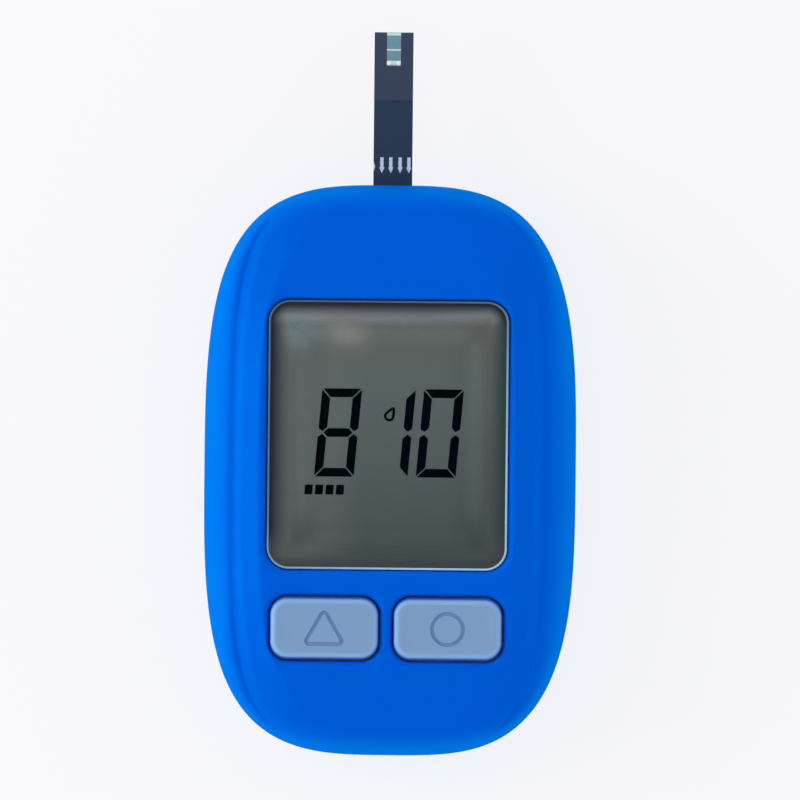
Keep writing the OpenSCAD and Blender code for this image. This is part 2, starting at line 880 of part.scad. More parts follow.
module zebra_strip() {
    color("dimgray")
        translate([0, zebra_y, board_top])
            box(zebra_w, zebra_l, front_glass_z - board_top);
}

// Board and what is soldered to it
module main_board() {
    color("darkgreen")
        translate([0, 0, board_z])
            linear_extrude(board_t)
                difference() {
                    polygon(outline(board_inset));
                    for (p = screw_places)
                        translate(p)
                            circle(boss_r + hole_gap);
                    for (p = post_places)
                        translate(p)
                            circle(post_pin_r + post_gap);
                    for (side = [-1, 1], y = clip_ys)
                        translate([side * (clip_x + barb_reach / 2), y])
                            square([clip_hole_w, clip_w + 2 * clip_gap], center = true);
                    for (y = cell_ys)
                        translate([plate_x, y])
                            square([contact_t + 2 * tail_gap, tail_w + 2 * tail_gap], center = true);
                }
}

// Chip body with legs on two or on four sides
module chip(size, legs, pitch, turns) {
    half = size.z / 2;
    knee = leg_reach / 2;
    translate([0, 0, leg_t / 2])
        box(size.x, size.y, size.z - leg_t / 2);
    for (turn = turns, i = [0:legs - 1])
        rotate([0, 0, turn])
            translate([(turn % 180 == 0 ? size.x : size.y) / 2, (i - (legs - 1) / 2) * pitch, 0])
                rotate([90, 0, 0])
                    translate([0, 0, -pitch / 4])
                        linear_extrude(pitch / 2)
                            polygon([
                                [-leg_t, half], [-leg_t, half + leg_t], [knee, half + leg_t],
                                [knee + leg_t / 2, leg_t], [leg_reach, leg_t], [leg_reach, 0],
                                [knee - leg_t / 2, 0], [knee - leg_t, half]
                            ]);
}

// Places what follows on the lower face of the board, upside down
module under_board(x, y) {
    translate([x, y, board_z])
        mirror([0, 0, 1])
            children();
}

module processor_chip() {
    color("dimgray")
        under_board(processor_x, processor_y)
            chip(processor_size, processor_legs, processor_pitch, [0, 90, 180, 270]);
}

module analog_chip() {
    color("dimgray")
        under_board(0, analog_y)
            chip(analog_size, analog_legs, processor_pitch, [0, 180]);
}

module memory_chip() {
    color("dimgray")
        under_board(memory_x, processor_y)
            chip(memory_size, memory_legs, memory_pitch, [0, 180]);
}

module clock_crystal() {
    color("silver")
        under_board(-can_l / 2, crystal_y)
            translate([0, 0, can_r]) {
                rotate([0, 90, 0])
                    cylinder(r = can_r, h = can_l);
                for (side = [-1, 1])
                    translate([can_l + (wire_l - join) / 2, side * can_r * 0.4, -wire_t / 2])
                        box(wire_l + join, wire_t, wire_t);
            }
}

// Resistors and capacitors in rows
module chip_parts() {
    across = [small_part.y, small_part.x, small_part.z];
    row_y = processor_y - processor_end - small_part.x;
    color("tan") {
        for (i = [0:small_row - 1])
            under_board(processor_x + (i - (small_row - 1) / 2) * small_pitch, row_y - small_pitch)
                box(small_part.x, small_part.y, small_part.z);
        for (i = [0:small_row - 3])
            under_board(processor_x + (i - (small_row - 3) / 2) * small_pitch, row_y)
                box(across.x, across.y, across.z);
        for (side = [-1, 1], i = [1:3])
            under_board(
                side * (analog_size.x + leg_reach + small_part.x),
                connector_y - connector_l - i * small_pitch
            )
                box(small_part.x, small_part.y, small_part.z);
    }
}

module beeper() {
    color("black")
        under_board(-view_w * 0.36, processor_y)
            difference() {
                cylinder(r = beeper_r, h = beeper_h);
                translate([0, 0, beeper_h * 0.75])
                    cylinder(r = beeper_r / 5, h = beeper_h);
            }
}

// Port for the strip: housing under the board, with a leaf spring in each of its channels
module strip_connector() {
    color("black")
        difference() {
            translate([0, connector_y - connector_l / 2, connector_z])
                box(connector_w, connector_l, board_z - connector_z);
            translate([0, connector_y - slot_depth / 2 + cut / 2, strip_z - slot_gap])
                box(strip_w + 2 * slot_gap, slot_depth + cut, strip_t + 2 * slot_gap);
            for (x = contact_xs)
                translate([x, connector_y - connector_l / 2 - 1, strip_z + strip_base_t])
                    box(contact_w + 2 * channel_gap, connector_l - 1.6, board_z);
        }
}

module strip_contacts() {
    back = connector_y - connector_l;
    touch = [strip_end + 2.2, strip_z + strip_base_t + leaf_rise + leaf_t / 2];
    path = [
        [back - 1, board_z - leaf_t / 2],
        [back + 0.3, board_z - leaf_t / 2],
        [back + 1.1, mix(touch.y, board_z, 0.7)],
        [back + 3, mix(touch.y, board_z, 0.5)],
        touch,
        touch + [1.5, 0.55]
    ];
    color("gold")
        for (x = contact_xs)
            translate([x, 0, 0])
                along_x(contact_w)
                    polygon(band_outline(path, leaf_t));
}

// Keypad
module key_mat() {
    color("lightgray")
        translate([0, 0, board_top])
            difference() {
                translate([0, -key_y, 0])
                    rounded_plate(mat_w, mat_l, mat_r, mat_t);
                at_keys()
                    translate([0, 0, -cut])
                        cylinder(r = dome_base_r - dome_wall, h = mat_t + 2 * cut);
            }
}

// Flexible silicone cone that carries a key
module dome(side) {
    color("lightgray")
        translate([side * key_pitch / 2, -key_y, 0])
            rotate_extrude()
                polygon([
                    [dome_base_r - dome_wall, mat_top], [dome_base_r, mat_top],
                    [dome_top_r + dome_wall, dome_top - dome_lip], [dome_top_r + dome_wall, dome_top],
                    [dome_top_r, dome_top], [dome_top_r, dome_top - dome_lip]
                ]);
}

module button(side) {
    color("lightsteelblue")
        translate([side * key_pitch / 2, -key_y, 0]) {
            translate([0, 0, flange_top - join])
                bevelled_plate(key_w, key_l, key_r, panel_z + key_proud - flange_top + join, key_bevel);
            translate([0, 0, flange_z])
                rounded_plate(flange_w, flange_l, flange_r, flange_t);
            translate([0, 0, pill_z + pill_t])
                cylinder(r = plunger_r, h = flange_top - pill_z - pill_t);
        }
}

module pill(side) {
    color("black")
        translate([side * key_pitch / 2, -key_y, pill_z])
            cylinder(r = pill_r, h = pill_t);
}

module memory_dome() dome(-1);
module set_dome() dome(1);
module memory_button() button(-1);
module set_button() button(1);
module memory_pill() pill(-1);
module set_pill() pill(1);

// Cell with its button at +X and its middle at the origin
module cell() {
    edge = 0.5;
    dish = 0.2;
    dish_r = cell_d / 4;
    translate([-cell_l / 2, 0, 0])
        rotate([0, 90, 0])
            rotate_extrude()
                polygon([
                    [0, dish], [dish_r, dish], [dish_r + dish, 0], [cell_d / 2 - edge, 0], [cell_d / 2, edge],
                    [cell_d / 2, cell_l - button_h - edge], [cell_d / 2 - edge, cell_l - button_h],
                    [button_r, cell_l - button_h], [button_r, cell_l - dish], [button_r - dish, cell_l],
                    [0, cell_l]
                ]);
}

module battery(i) {
    translate([cell_dirs[i] * (bay_len - cell_l - 2 * contact_clear) / 2, cell_ys[i], cell_z])
        rotate([0, 0, cell_dirs[i] > 0 ? 0 : 180])
            cell();
}

module battery_upper() color("goldenrod") battery(0);
module battery_lower() color("goldenrod") battery(1);

// Conical coil along +X, its wide end at the origin
module coil() {
    run = spring_room - contact_clear - spring_wire;
    ring_corners = [for (s = [0:spring_sides - 1]) 360 * s / spring_sides];
    points = [
        for (i = [0:spring_steps])
            let (
                t = i / spring_steps,
                a = 360 * spring_turns * t,
                r = mix(spring_base_r, spring_top_r, t)
            )
            for (s = ring_corners)
                let (rr = r + spring_wire / 2 * cos(s))
                [spring_wire / 2 + run * t + spring_wire / 2 * sin(s), rr * cos(a), rr * sin(a)]
    ];
    walls = [
        for (i = [0:spring_steps - 1], s = [0:spring_sides - 1])
            let (low = i * spring_sides, high = low + spring_sides, n = (s + 1) % spring_sides)
            each [[low + s, high + n, high + s], [low + s, low + n, high + n]]
    ];
    start = [for (s = [spring_sides - 1:-1:0]) s];
    end = [for (s = [0:spring_sides - 1]) spring_steps * spring_sides + s];
    polyhedron(points, concat([start], walls, [end]));
}

module battery_springs() {
    color("silver")
        for (i = [0, 1])
            translate([-cell_dirs[i] * bay_len / 2, cell_ys[i], cell_z])
                rotate([0, 0, cell_dirs[i] > 0 ? 0 : 180])
                    coil();
}

// Flat plate in its pocket in the bay's end wall
module contact_plate(side, y, w) {
    translate([side * plate_x, y, plate_z])
        box(contact_t, w, bay_top - plate_z - 3 * plate_gap);
}

// Solder tail that passes through the board
module contact_tail(y) {
    translate([plate_x, y, plate_z])
        box(contact_t, tail_w, board_top + tail_end - plate_z);
}

module bridge_plate() {
    color("silver")
        contact_plate(-1, -bay_y, cell_pitch + plate_w);
}

module positive_contact() {
    color("silver") {
        contact_plate(1, cell_ys[0], plate_w);
        contact_tail(cell_ys[0]);
    }
}

module negative_contact() {
    color("silver") {
        contact_plate(1, cell_ys[1], plate_w);
        contact_tail(cell_ys[1]);
    }
}

// Battery door, hinged on its hook tabs
module battery_door() {
    color("mediumblue") {
        difference() {
            union() {
                translate([0, -bay_y, door_recess])
                    rounded_plate(door_w, door_l, opening_r - door_gap, door_t);
                translate([0, (door_tab_y - bay_y) / 2, door_recess])
                    box(latch_tab_w, -bay_y - door_tab_y, door_t);
            }
            // Notch that frees the latch tongue
            translate([0, (door_tab_y + latch_inner_y) / 2, 0])
                box(
                    latch_w + 2 * latch_notch, latch_inner_y - door_tab_y + latch_t + join,
                    door_recess + door_t + cut
                );
            for (i = [0:grip_grooves - 1])
                translate([0, bay_back_y + 3 + i * grip_pitch, 0])
                    box(grip_w, grip_pitch / 2, door_recess + grip_depth);
        }
        for (side = [-1, 1])
            translate([side * hook_x, 0, 0])
                hook_tab();
        latch_tongue();
    }
}

// Tab that reaches over the edge of the rear wall
module hook_tab() {
    root_y = door_front_y - 1.9;
    along_x(hook_w)
        polygon([
            [root_y, door_recess + door_t / 2],
            [root_y, hook_z + hook_t],
            [hinge_y + hook_reach, hook_z + hook_t],
            [hinge_y + hook_reach, hook_z],
            [door_front_y - door_gap, hook_z],
            [door_front_y - door_gap, door_recess + door_t / 2]
        ]);
}

// Spring tongue bent over like a U, with the catch on its outer leg
module latch_tongue() {
    bend_z = latch_top - latch_bend_r - latch_t / 2;
    path = concat(
        [[latch_inner_y, door_recess + door_t / 2]],
        arc([(latch_inner_y + latch_outer_y) / 2, bend_z], latch_bend_r, 0, 180, 8),
        [[latch_outer_y, door_recess]]
    );
    catch_z = rear_wall + 0.2;
    catch_reach = 0.25;
    along_x(latch_w)
        polygon(band_outline(path, latch_t));
    along_x(latch_w - 2)
        polygon([
            [latch_outer_y, catch_z],
            [latch_outer_y - latch_t / 2 - catch_reach, catch_z],
            [latch_outer_y - latch_t / 2, catch_z + 1],
            [latch_outer_y, catch_z + 1]
        ]);
    translate([0, latch_inner_y + latch_t / 2, door_recess])
        box(latch_w, latch_t, door_t);
}

// Test strip
module strip_layer(from, to, z, t) {
    translate([0, (from + to) / 2, z])
        box(strip_w, to - from, t);
}

module strip_base() {
    color("midnightblue")
        strip_layer(strip_end, strip_tip, strip_z, strip_base_t);
}

module strip_spacer() {
    color("white")
        difference() {
            strip_layer(strip_tip - strip_cover_l, strip_tip, strip_spacer_z, strip_layer_t);
            translate([0, strip_tip - sample_l / 2, strip_z])
                box(sample_w / 2, sample_l, 1);
        }
}

module strip_cover() {
    color("darkslateblue")
        difference() {
            strip_layer(strip_tip - strip_cover_l, strip_tip, strip_cover_z, strip_layer_t);
            translate([0, strip_tip - sample_l / 2 + cut / 2, strip_z])
                box(sample_w, sample_l + cut, 1);
        }
}

module strip_window() {
    color("lightcyan", 0.5)
        translate([0, strip_tip - sample_l / 2, strip_cover_z])
            box(sample_w, sample_l, strip_layer_t);
}

front_cover();
rear_cover();
case_screws();
window_lens();
lens_gasket();
lcd_polarizer();
lcd_front_glass();
lcd_rear_glass();
lcd_reflector();
lcd_frame();
zebra_strip();
main_board();
processor_chip();
analog_chip();
memory_chip();
clock_crystal();
chip_parts();
beeper();
strip_connector();
strip_contacts();
key_mat();
memory_dome();
set_dome();
memory_button();
memory_pill();
set_button();
set_pill();
battery_upper();
battery_lower();
battery_springs();
bridge_plate();
positive_contact();
negative_contact();
battery_door();
strip_base();
strip_spacer();
strip_cover();
strip_window();
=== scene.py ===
"""Looks of a hand-held blood lactate meter that lies on its back with a test strip in its port.
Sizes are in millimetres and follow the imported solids. Meshes are made in millimetres and stored in metres."""
import math

import bpy
import bmesh
import numpy as np
from mathutils import Matrix, Vector

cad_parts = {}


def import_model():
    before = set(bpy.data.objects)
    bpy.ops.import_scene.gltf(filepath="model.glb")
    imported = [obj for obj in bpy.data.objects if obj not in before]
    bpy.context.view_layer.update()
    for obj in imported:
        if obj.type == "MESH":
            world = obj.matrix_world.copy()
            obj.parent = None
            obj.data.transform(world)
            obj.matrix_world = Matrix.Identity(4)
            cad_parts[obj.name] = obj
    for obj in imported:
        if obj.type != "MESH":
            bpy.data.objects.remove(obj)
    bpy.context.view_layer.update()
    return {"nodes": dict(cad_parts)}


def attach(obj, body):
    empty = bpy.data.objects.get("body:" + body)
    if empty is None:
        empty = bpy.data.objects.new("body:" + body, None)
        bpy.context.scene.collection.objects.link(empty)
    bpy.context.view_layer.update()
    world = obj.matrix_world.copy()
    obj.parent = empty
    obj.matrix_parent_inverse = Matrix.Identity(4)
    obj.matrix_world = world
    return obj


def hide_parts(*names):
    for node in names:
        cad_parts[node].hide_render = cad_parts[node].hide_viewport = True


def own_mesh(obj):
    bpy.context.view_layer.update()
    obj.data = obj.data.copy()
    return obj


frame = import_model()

MM = 0.001
NODES = frame["nodes"]

# ---- Sizes of the case, as in the part's source
CASE_W, CASE_L, CASE_H = 61.3, 94.0, 23.3
SQUARE = 3.3
SPLIT = 11.0
WALL = 2.1
REAR_WALL, REAR_ROUND, REAR_DRAFT = 2.0, 3.2, 0.5
LAP_H, LAP_SKIRT, LAP_GAP = 1.2, 1.1, 0.15
BAND_W, CREASE_DROP, SHOULDER_W = 4.9, 2.4, 4.8
END_ROUND, END_FULLNESS, CORNER_FULLNESS, CREASE_RUNOUT = 5.6, 2.8, 6.3, 1.8
CROWN = 0.25
PANEL_Z = CASE_H - CROWN
CREASE_Z = PANEL_Z - CREASE_DROP
WINDOW_W, WINDOW_L, WINDOW_R, WINDOW_Y = 39.5, 44.2, 3.6, 5.8
WINDOW_GAP, WINDOW_T, WINDOW_PROUD, BORDER = 0.15, 1.3, 0.1, 1.5
WINDOW_Z = PANEL_Z + WINDOW_PROUD - WINDOW_T
LEDGE_Z = WINDOW_Z - 0.2
CEILING_Z = LEDGE_Z - 1.1
VIEW_W, VIEW_L, VIEW_R = WINDOW_W - 2 * BORDER, WINDOW_L - 2 * BORDER, WINDOW_R - BORDER / 2
POLARIZER_TOP = CEILING_Z - 0.3
KEY_W, KEY_L, KEY_R, KEY_PITCH, KEY_Y = 17.9, 10.4, 2.9, 20.3, 26.0
# Gap below the lip of a key's opening: less than in the source, since the lip widens it above
KEY_GAP, KEY_PROUD = 0.22, 0.75
FLANGE_TOP = CEILING_Z - 0.2
FLANGE_T, FLANGE_GAP = 1.0, 0.25
FLANGE_W, FLANGE_L, FLANGE_R = KEY_W + 1.4, KEY_L + 1.4, KEY_R + 0.7
BOARD_TOP = 15.2
MAT_TOP = 16.1
PLUNGER_R, KEY_TRAVEL = 2.6, 0.8
PILL_TOP = 16.65
BAY_Y, BAY_LEN, BAY_W, BAY_TOP = 14.2, 48.45, 22.5, 12.7
BAY_WALL, BAY_ROOF, BAY_BASE = 1.2, 0.8, 1.0
CELL_Z, CELL_R, CELL_LEN = 7.2, 5.25, 44.5
CELL_YS = (-8.7, -19.7)
PLATE_SLOT, CONTACT_W, CONTACT_TAIL_W, BRIDGE_W = 0.42, 9.2, 2.3, 20.2
LEDGE_BOTTOM = 1.8
OPENING_W, OPENING_L, OPENING_R = 50.45, 24.5, 2.2
TAB_Y = -BAY_Y - OPENING_L / 2 - 2.8
TAB_W, TAB_GAP = 13.4, 0.2
HOOK_X, HOOK_W, HOOK_TOP = 14, 6.6, 4.35
LATCH_BOX_W, LATCH_BOX_TOP = 9.4, 5.2
SCREWS = [(sx * 19.8, sy * 35.5) for sx in (-1, 1) for sy in (-1, 1)]
HEAD_HOLE_R, HEAD_TOP, SHANK_HOLE_R = 2.4, 3.3, 1.3
TOWER_R, TOWER_TOP = 3.1, 6.3
BOSS_R, BOSS_SHOULDER_R, BOSS_Z = 2.6, 3.3, 6.5
PILOT_R, PILOT_TOP = 1.15, 13.3
POSTS = [(side * 23.25, 14.16) for side in (-1, 1)] + [(side * 11.88, -38.5) for side in (-1, 1)]
POST_R, POST_TOP, PIN_R, PIN_TOP = 1.7, 13.6, 0.8, 14.88
STRIP_Z, STRIP_W, STRIP_TIP = 11.45, 6.4, 72.2
STRIP_BASE_T, STRIP_LAYER_T = 0.35, 0.1
SAMPLE_W, SAMPLE_L = 2.3, 5.5
PORT_W, PORT_TOP, PORT_FLARE = 7.2, 12.45, 0.5


# ---- Outline and surface of the case
def mix(a, b, t):
    return a + (b - a) * t


def outline_xy(side_inset, end_inset, angles):
    c, s = np.cos(angles), np.sin(angles)
    e = 2 / SQUARE
    x = (CASE_W / 2 - side_inset) * np.sign(c) * np.abs(c) ** e
    y = (CASE_L / 2 - end_inset) * np.sign(s) * np.abs(s) ** e
    return x, y


def even_angles(count):
    """Angles that space points evenly round the outline."""
    fine = np.linspace(0, 2 * math.pi, 40001)
    x, y = outline_xy(0, 0, fine)
    run = np.concatenate([[0], np.cumsum(np.hypot(np.diff(x), np.diff(y)))])
    return np.interp(np.arange(count) / count * run[-1], run, fine)


RING_POINTS = 336
ANGLES = even_angles(RING_POINTS)


def ring(side_inset, end_inset, side_z, end_z):
    x, y = outline_xy(side_inset, end_inset, ANGLES)
    return np.column_stack([x, y, mix(end_z, side_z, np.cos(ANGLES) ** 2)])


def level(inset, z):
    return ring(inset, inset, z, z)


EDGE_W = BAND_W + SHOULDER_W
CEILING_END = END_ROUND + WALL
LAP_TOP = SPLIT + LAP_H + LAP_GAP
SEAM = 0.12


def quarter(steps):
    """Cosine and sine of even steps from 0 to 90 degrees."""
    angles = [math.radians(90) * k / steps for k in range(steps + 1)]
    return [(math.cos(a), math.sin(a)) for a in angles]


def cavity_rings(grow):
    """Domed hollow of the front cover, from its ceiling down to the lap."""
    rings = []
    for c, s in reversed(quarter(12)):
        z = mix(LAP_TOP, CEILING_Z, s) + grow
        rings.append(ring(mix(WALL, EDGE_W, 1 - c) - grow, mix(WALL, CEILING_END, 1 - c) - grow, z, z))
    return rings


def smooth(t):
    t = np.clip(t, 0, 1)
    return t * t * (3 - 2 * t)


RISE_T = np.linspace(0, 1, 401)
RISE_SLOPE = np.interp(RISE_T, [0, 0.08, 0.16, 0.28, 0.4, 0.9, 1], [0.45, 0.5, 1.3, 1.45, 0.95, 0.95, 0.1])
RISE = np.concatenate([[0], np.cumsum((RISE_SLOPE[1:] + RISE_SLOPE[:-1]) / 2)])


def shoulder_rise(t):
    """Share of the shoulder's height at t of its width: steep by the crease, then an even slope."""
    return float(np.interp(t, RISE_T, RISE)) / RISE[-1]


FADE_START, FADE_END = 0.2, 0.95
GROOVE_W = 0.42
BAND_TURN = math.radians(80)
FULLNESS = mix(END_FULLNESS, CORNER_FULLNESS, np.sin(2 * ANGLES) ** 4)
DIP = smooth((np.abs(np.cos(ANGLES)) - FADE_START) / (FADE_END - FADE_START))
RUNOUT = 1 + CREASE_RUNOUT * np.abs(np.sin(ANGLES)) ** 2.5
GROOVE = smooth(DIP * 1.5) * (0.07 + 0.11 * smooth(np.sin(2 * ANGLES) ** 2 * 1.3))
EDGE_LOW = SPLIT + SEAM


def edge_height(q, fullness):
    return mix(EDGE_LOW, PANEL_Z, (1 - (1 - q) ** fullness) ** (1 / fullness))


def edge_ring(inset, side_z):
    """Ring of the front cover's rounded edge: side_z is its height at the sides, inset its distance from there.
    The dip along the sides fades at the corners, where the crease runs out to the edge."""
    u = inset / EDGE_W
    q = u ** RUNOUT
    x, y = outline_xy(EDGE_W * q, END_ROUND * q, ANGLES)
    groove = GROOVE * math.exp(-((inset - BAND_W) / GROOVE_W) ** 2)
    dip = DIP * (edge_height(u, END_FULLNESS) - side_z) + groove
    return np.column_stack([x, y, edge_height(q, FULLNESS) - dip])


PANEL_TIP = 3


def crown_at(t):
    """Insets at the sides and the ends, and height, at t of the way from the panel's edge to its middle."""
    side, end = mix(EDGE_W, CASE_W / 2 - PANEL_TIP, t), mix(END_ROUND, CASE_L / 2 - PANEL_TIP, t)
    return side, end, mix(PANEL_Z, CASE_H, 1 - (1 - t) ** 2)


def front_rings():
    """Outside of the front cover: band, shoulder, then the panel's crown."""
    rings = [level(SEAM, SPLIT)]
    crown_steps = 10
    for turn in [*np.arange(0, 0.84, 0.045), *np.arange(0.85, 0.99, 0.017), 1]:
        a = BAND_TURN * turn
        inset = BAND_W * (1 - math.cos(a)) / (1 - math.cos(BAND_TURN))
        rings.append(edge_ring(inset, mix(EDGE_LOW, CREASE_Z, math.sin(a) / math.sin(BAND_TURN))))
    for t in [*np.arange(0.025, 0.3, 0.025), *np.arange(0.3, 0.99, 0.05), 1]:
        rings.append(edge_ring(BAND_W + SHOULDER_W * t, mix(CREASE_Z, PANEL_Z, shoulder_rise(t))))
    for k in range(1, crown_steps + 1):
        side, end, z = crown_at(k / crown_steps)
        rings.append(ring(side, end, z, z))
    return rings


def panel_height(x, y):
    """Height of the crowned panel at a point, found by halving."""
    low, high = np.zeros_like(x), np.ones_like(x)
    for _ in range(40):
        t = (low + high) / 2
        side, end = crown_at(t)[:2]
        inside = (np.abs(x) / (CASE_W / 2 - side)) ** SQUARE + (np.abs(y) / (CASE_L / 2 - end)) ** SQUARE < 1
        low, high = np.where(inside, t, low), np.where(inside, high, t)
    return crown_at(low)[2]


# ---- Solids in millimetres
def add_object(mesh):
    obj = bpy.data.objects.new("solid", mesh)
    bpy.context.scene.collection.objects.link(obj)
    return obj


def raw(verts, faces):
    mesh = bpy.data.meshes.new("solid")
    mesh.from_pydata([tuple(map(float, v)) for v in verts], [], [tuple(map(int, f)) for f in faces])
    weld(mesh, 1e-5, 1e-6)
    return add_object(mesh)


def weld(mesh, near, thin):
    """Joins points nearer than near, drops edges shorter than thin and turns the faces outwards."""
    bm = bmesh.new()
    bm.from_mesh(mesh)
    bmesh.ops.remove_doubles(bm, verts=bm.verts, dist=near)
    bmesh.ops.dissolve_degenerate(bm, edges=bm.edges, dist=thin)
    bmesh.ops.recalc_face_normals(bm, faces=bm.faces)
    bm.to_mesh(mesh)
    bm.free()


def skin(rings, n, around):
    """Faces between neighbouring rings of n points. Around: the last ring joins the first one too."""
    faces = []
    for k in range(len(rings) if around else len(rings) - 1):
        low, high = k * n, (k + 1) % len(rings) * n
        for i in range(n):
            j = (i + 1) % n
            faces.append((low + i, low + j, high + j, high + i))
    return faces


def loft(rings):
    """Closed solid through rings of equally many points."""
    n = len(rings[0])
    last = (len(rings) - 1) * n
    caps = [tuple(range(n - 1, -1, -1)), tuple(last + i for i in range(n))]
    return raw(np.vstack(rings), skin(rings, n, False) + caps)


def rect_points(w, l, r, corner=10, side=6):
    """Rounded rectangle, anticlockwise, with the same count of points at any size."""
    points = []
    r = max(r, 0.01)
    for k, (sx, sy) in enumerate([(1, 1), (-1, 1), (-1, -1), (1, -1)]):
        cx, cy = sx * (w / 2 - r), sy * (l / 2 - r)
        for i in range(corner + 1):
            a = math.radians(90) * (k + i / corner)
            points.append((cx + r * math.cos(a), cy + r * math.sin(a)))
        nx, ny = [(-1, 1), (-1, -1), (1, -1), (1, 1)][k]
        a = math.radians(90) * (k + 1)
        end = (nx * (w / 2 - r) + r * math.cos(a), ny * (l / 2 - r) + r * math.sin(a))
        start = points[-1]
        for i in range(1, side):
            points.append((mix(start[0], end[0], i / side), mix(start[1], end[1], i / side)))
    return np.array(points)


def rect_ring(w, l, r, z, x, y, **counts):
    """Ring of a rounded rectangle. z is a height, or a function of the points' places."""
    p = rect_points(w, l, r, **counts) + np.array([x, y])
    return np.column_stack([p, np.full(len(p), z) if np.isscalar(z) else z(p[:, 0], p[:, 1])])


def rect_prism(w, l, r, x, y, z0, z1, **counts):
    return loft([rect_ring(w, l, r, z, x, y, **counts) for z in (z0, z1)])


def block(x0, x1, y0, y1, z0, z1):
    v = [(x, y, z) for z in (z0, z1) for y in (y0, y1) for x in (x0, x1)]
    f = [(0, 2, 3, 1), (4, 5, 7, 6), (0, 1, 5, 4), (2, 6, 7, 3), (0, 4, 6, 2), (1, 3, 7, 5)]
    return raw(v, f)


def centred_block(x, y, w, l, z0, z1):
    return block(x - w / 2, x + w / 2, y - l / 2, y + l / 2, z0, z1)


def round_angles(count):
    return np.arange(count) / count * 2 * math.pi


def turned(profile, x, y, sides=64):
    """Solid of revolution about a vertical line: profile is a list of (radius, height)."""
    a = round_angles(sides)
    return loft([np.column_stack([x + r * np.cos(a), y + r * np.sin(a), np.full(sides, z)]) for r, z in profile])


def drop(obj):
    mesh = obj.data
    bpy.data.objects.remove(obj)
    if mesh.users == 0:
        bpy.data.meshes.remove(mesh)


def carve(target, tool, how="DIFFERENCE"):
    """Boolean of two closed solids, applied to the first. The second is used up.
    The exact solver steps in where the fast one leaves nothing."""
    for solver in ("MANIFOLD", "EXACT"):
        m = target.modifiers.new("carve", "BOOLEAN")
        m.operation, m.object, m.solver = how, tool, solver
        done = bpy.data.meshes.new_from_object(target.evaluated_get(bpy.context.evaluated_depsgraph_get()))
        target.modifiers.remove(m)
        if len(done.polygons) > 3:
            break
    old = target.data
    target.data = done
    bpy.data.meshes.remove(old)
    drop(tool)


def fuse(target, tool):
    carve(target, tool, "UNION")


def finish_piece(obj, name, mats, body, nodes=(), sharp=32):
    """Turns a solid in millimetres into a piece of the scene in metres."""
    weld(obj.data, 2e-4, 2e-4)
    obj.name = obj.data.name = name
    obj.data.transform(Matrix.Scale(MM, 4))
    mats = mats if isinstance(mats, (list, tuple)) else [mats]
    indices = [p.material_index for p in obj.data.polygons]
    obj.data.materials.clear()
    for m in mats:
        obj.data.materials.append(m)
    for p, index in zip(obj.data.polygons, indices):
        p.material_index = min(index, len(mats) - 1)
        p.use_smooth = True
    obj.data.set_sharp_from_angle(angle=math.radians(sharp))
    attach(obj, body)
    if nodes:
        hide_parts(*nodes)
    return obj


# ---- Materials
def material(name):
    m = bpy.data.materials.new(name)
    m.use_nodes = True
    return m, m.node_tree, m.node_tree.nodes["Principled BSDF"]


def node(nt, kind, values=None, **props):
    n = nt.nodes.new("ShaderNode" + kind)
    for k, v in props.items():
        setattr(n, k, v)
    for k, v in (values or {}).items():
        n.inputs[k].default_value = v
    return n


def feed(nt, socket, value):
    """Puts a number, a colour or another node's output into a socket."""
    if isinstance(value, (tuple, list)):
        socket.default_value = (*value[:3], 1)
    elif isinstance(value, (int, float)):
        socket.default_value = value
    else:
        nt.links.new(value, socket)


def object_coords(nt, scale=1.0):
    """Object coordinates in millimetres, times scale."""
    m = node(nt, "VectorMath", {"Scale": scale / MM}, operation="SCALE")
    nt.links.new(node(nt, "TexCoord").outputs["Object"], m.inputs[0])
    return m.outputs[0]


def noise(nt, size, detail):
    """Noise whose features are about size millimetres wide, from 0 to 1."""
    n = node(nt, "TexNoise", {"Scale": 1.0, "Detail": detail})
    nt.links.new(object_coords(nt, 1 / size), n.inputs["Vector"])
    return n.outputs["Fac"]


def remap(nt, value, a, b, c, d, smooth=False):
    """Takes a..b to c..d, and stays at c or d outside. Smooth: with soft ends."""
    m = node(nt, "MapRange", {"From Min": a, "From Max": b, "To Min": c, "To Max": d})
    if smooth:
        m.interpolation_type = "SMOOTHSTEP"
    nt.links.new(value, m.inputs["Value"])
    return m.outputs["Result"]


def math_node(nt, op, *values):
    m = node(nt, "Math", operation=op)
    for socket, value in zip(m.inputs, values):
        feed(nt, socket, value)
    return m.outputs[0]


def times(nt, a, b):
    return math_node(nt, "MULTIPLY", a, b)


def mix_colour(nt, fac, a, b):
    m = node(nt, "Mix", data_type="RGBA")
    for i, value in ((0, fac), (6, a), (7, b)):
        feed(nt, m.inputs[i], value)
    return m.outputs[2]


def mix_shader(nt, fac, a, b):
    m = node(nt, "MixShader")
    for socket, source in zip(m.inputs, (fac, a, b)):
        nt.links.new(source, socket)
    return m.outputs[0]


def show(nt, shader):
    nt.links.new(shader, nt.nodes["Material Output"].inputs["Surface"])


def bump(nt, bsdf, height, depth_mm):
    b = node(nt, "Bump", {"Strength": 1.0, "Distance": depth_mm * MM})
    nt.links.new(height, b.inputs["Height"])
    nt.links.new(b.outputs["Normal"], bsdf.inputs["Normal"])


def dress(nt, bsdf, colour, rough, spec):
    """Colour, roughness and specular level, each a value or another node's output."""
    for socket, value in (("Base Color", colour), ("Roughness", rough), ("Specular IOR Level", spec)):
        feed(nt, bsdf.inputs[socket], value)


def srgb(r, g, b):
    """Linear colour from 8-bit screen values."""
    def lin(v):
        v /= 255
        return v / 12.92 if v <= 0.04045 else ((v + 0.055) / 1.055) ** 2.4
    return (lin(r), lin(g), lin(b))


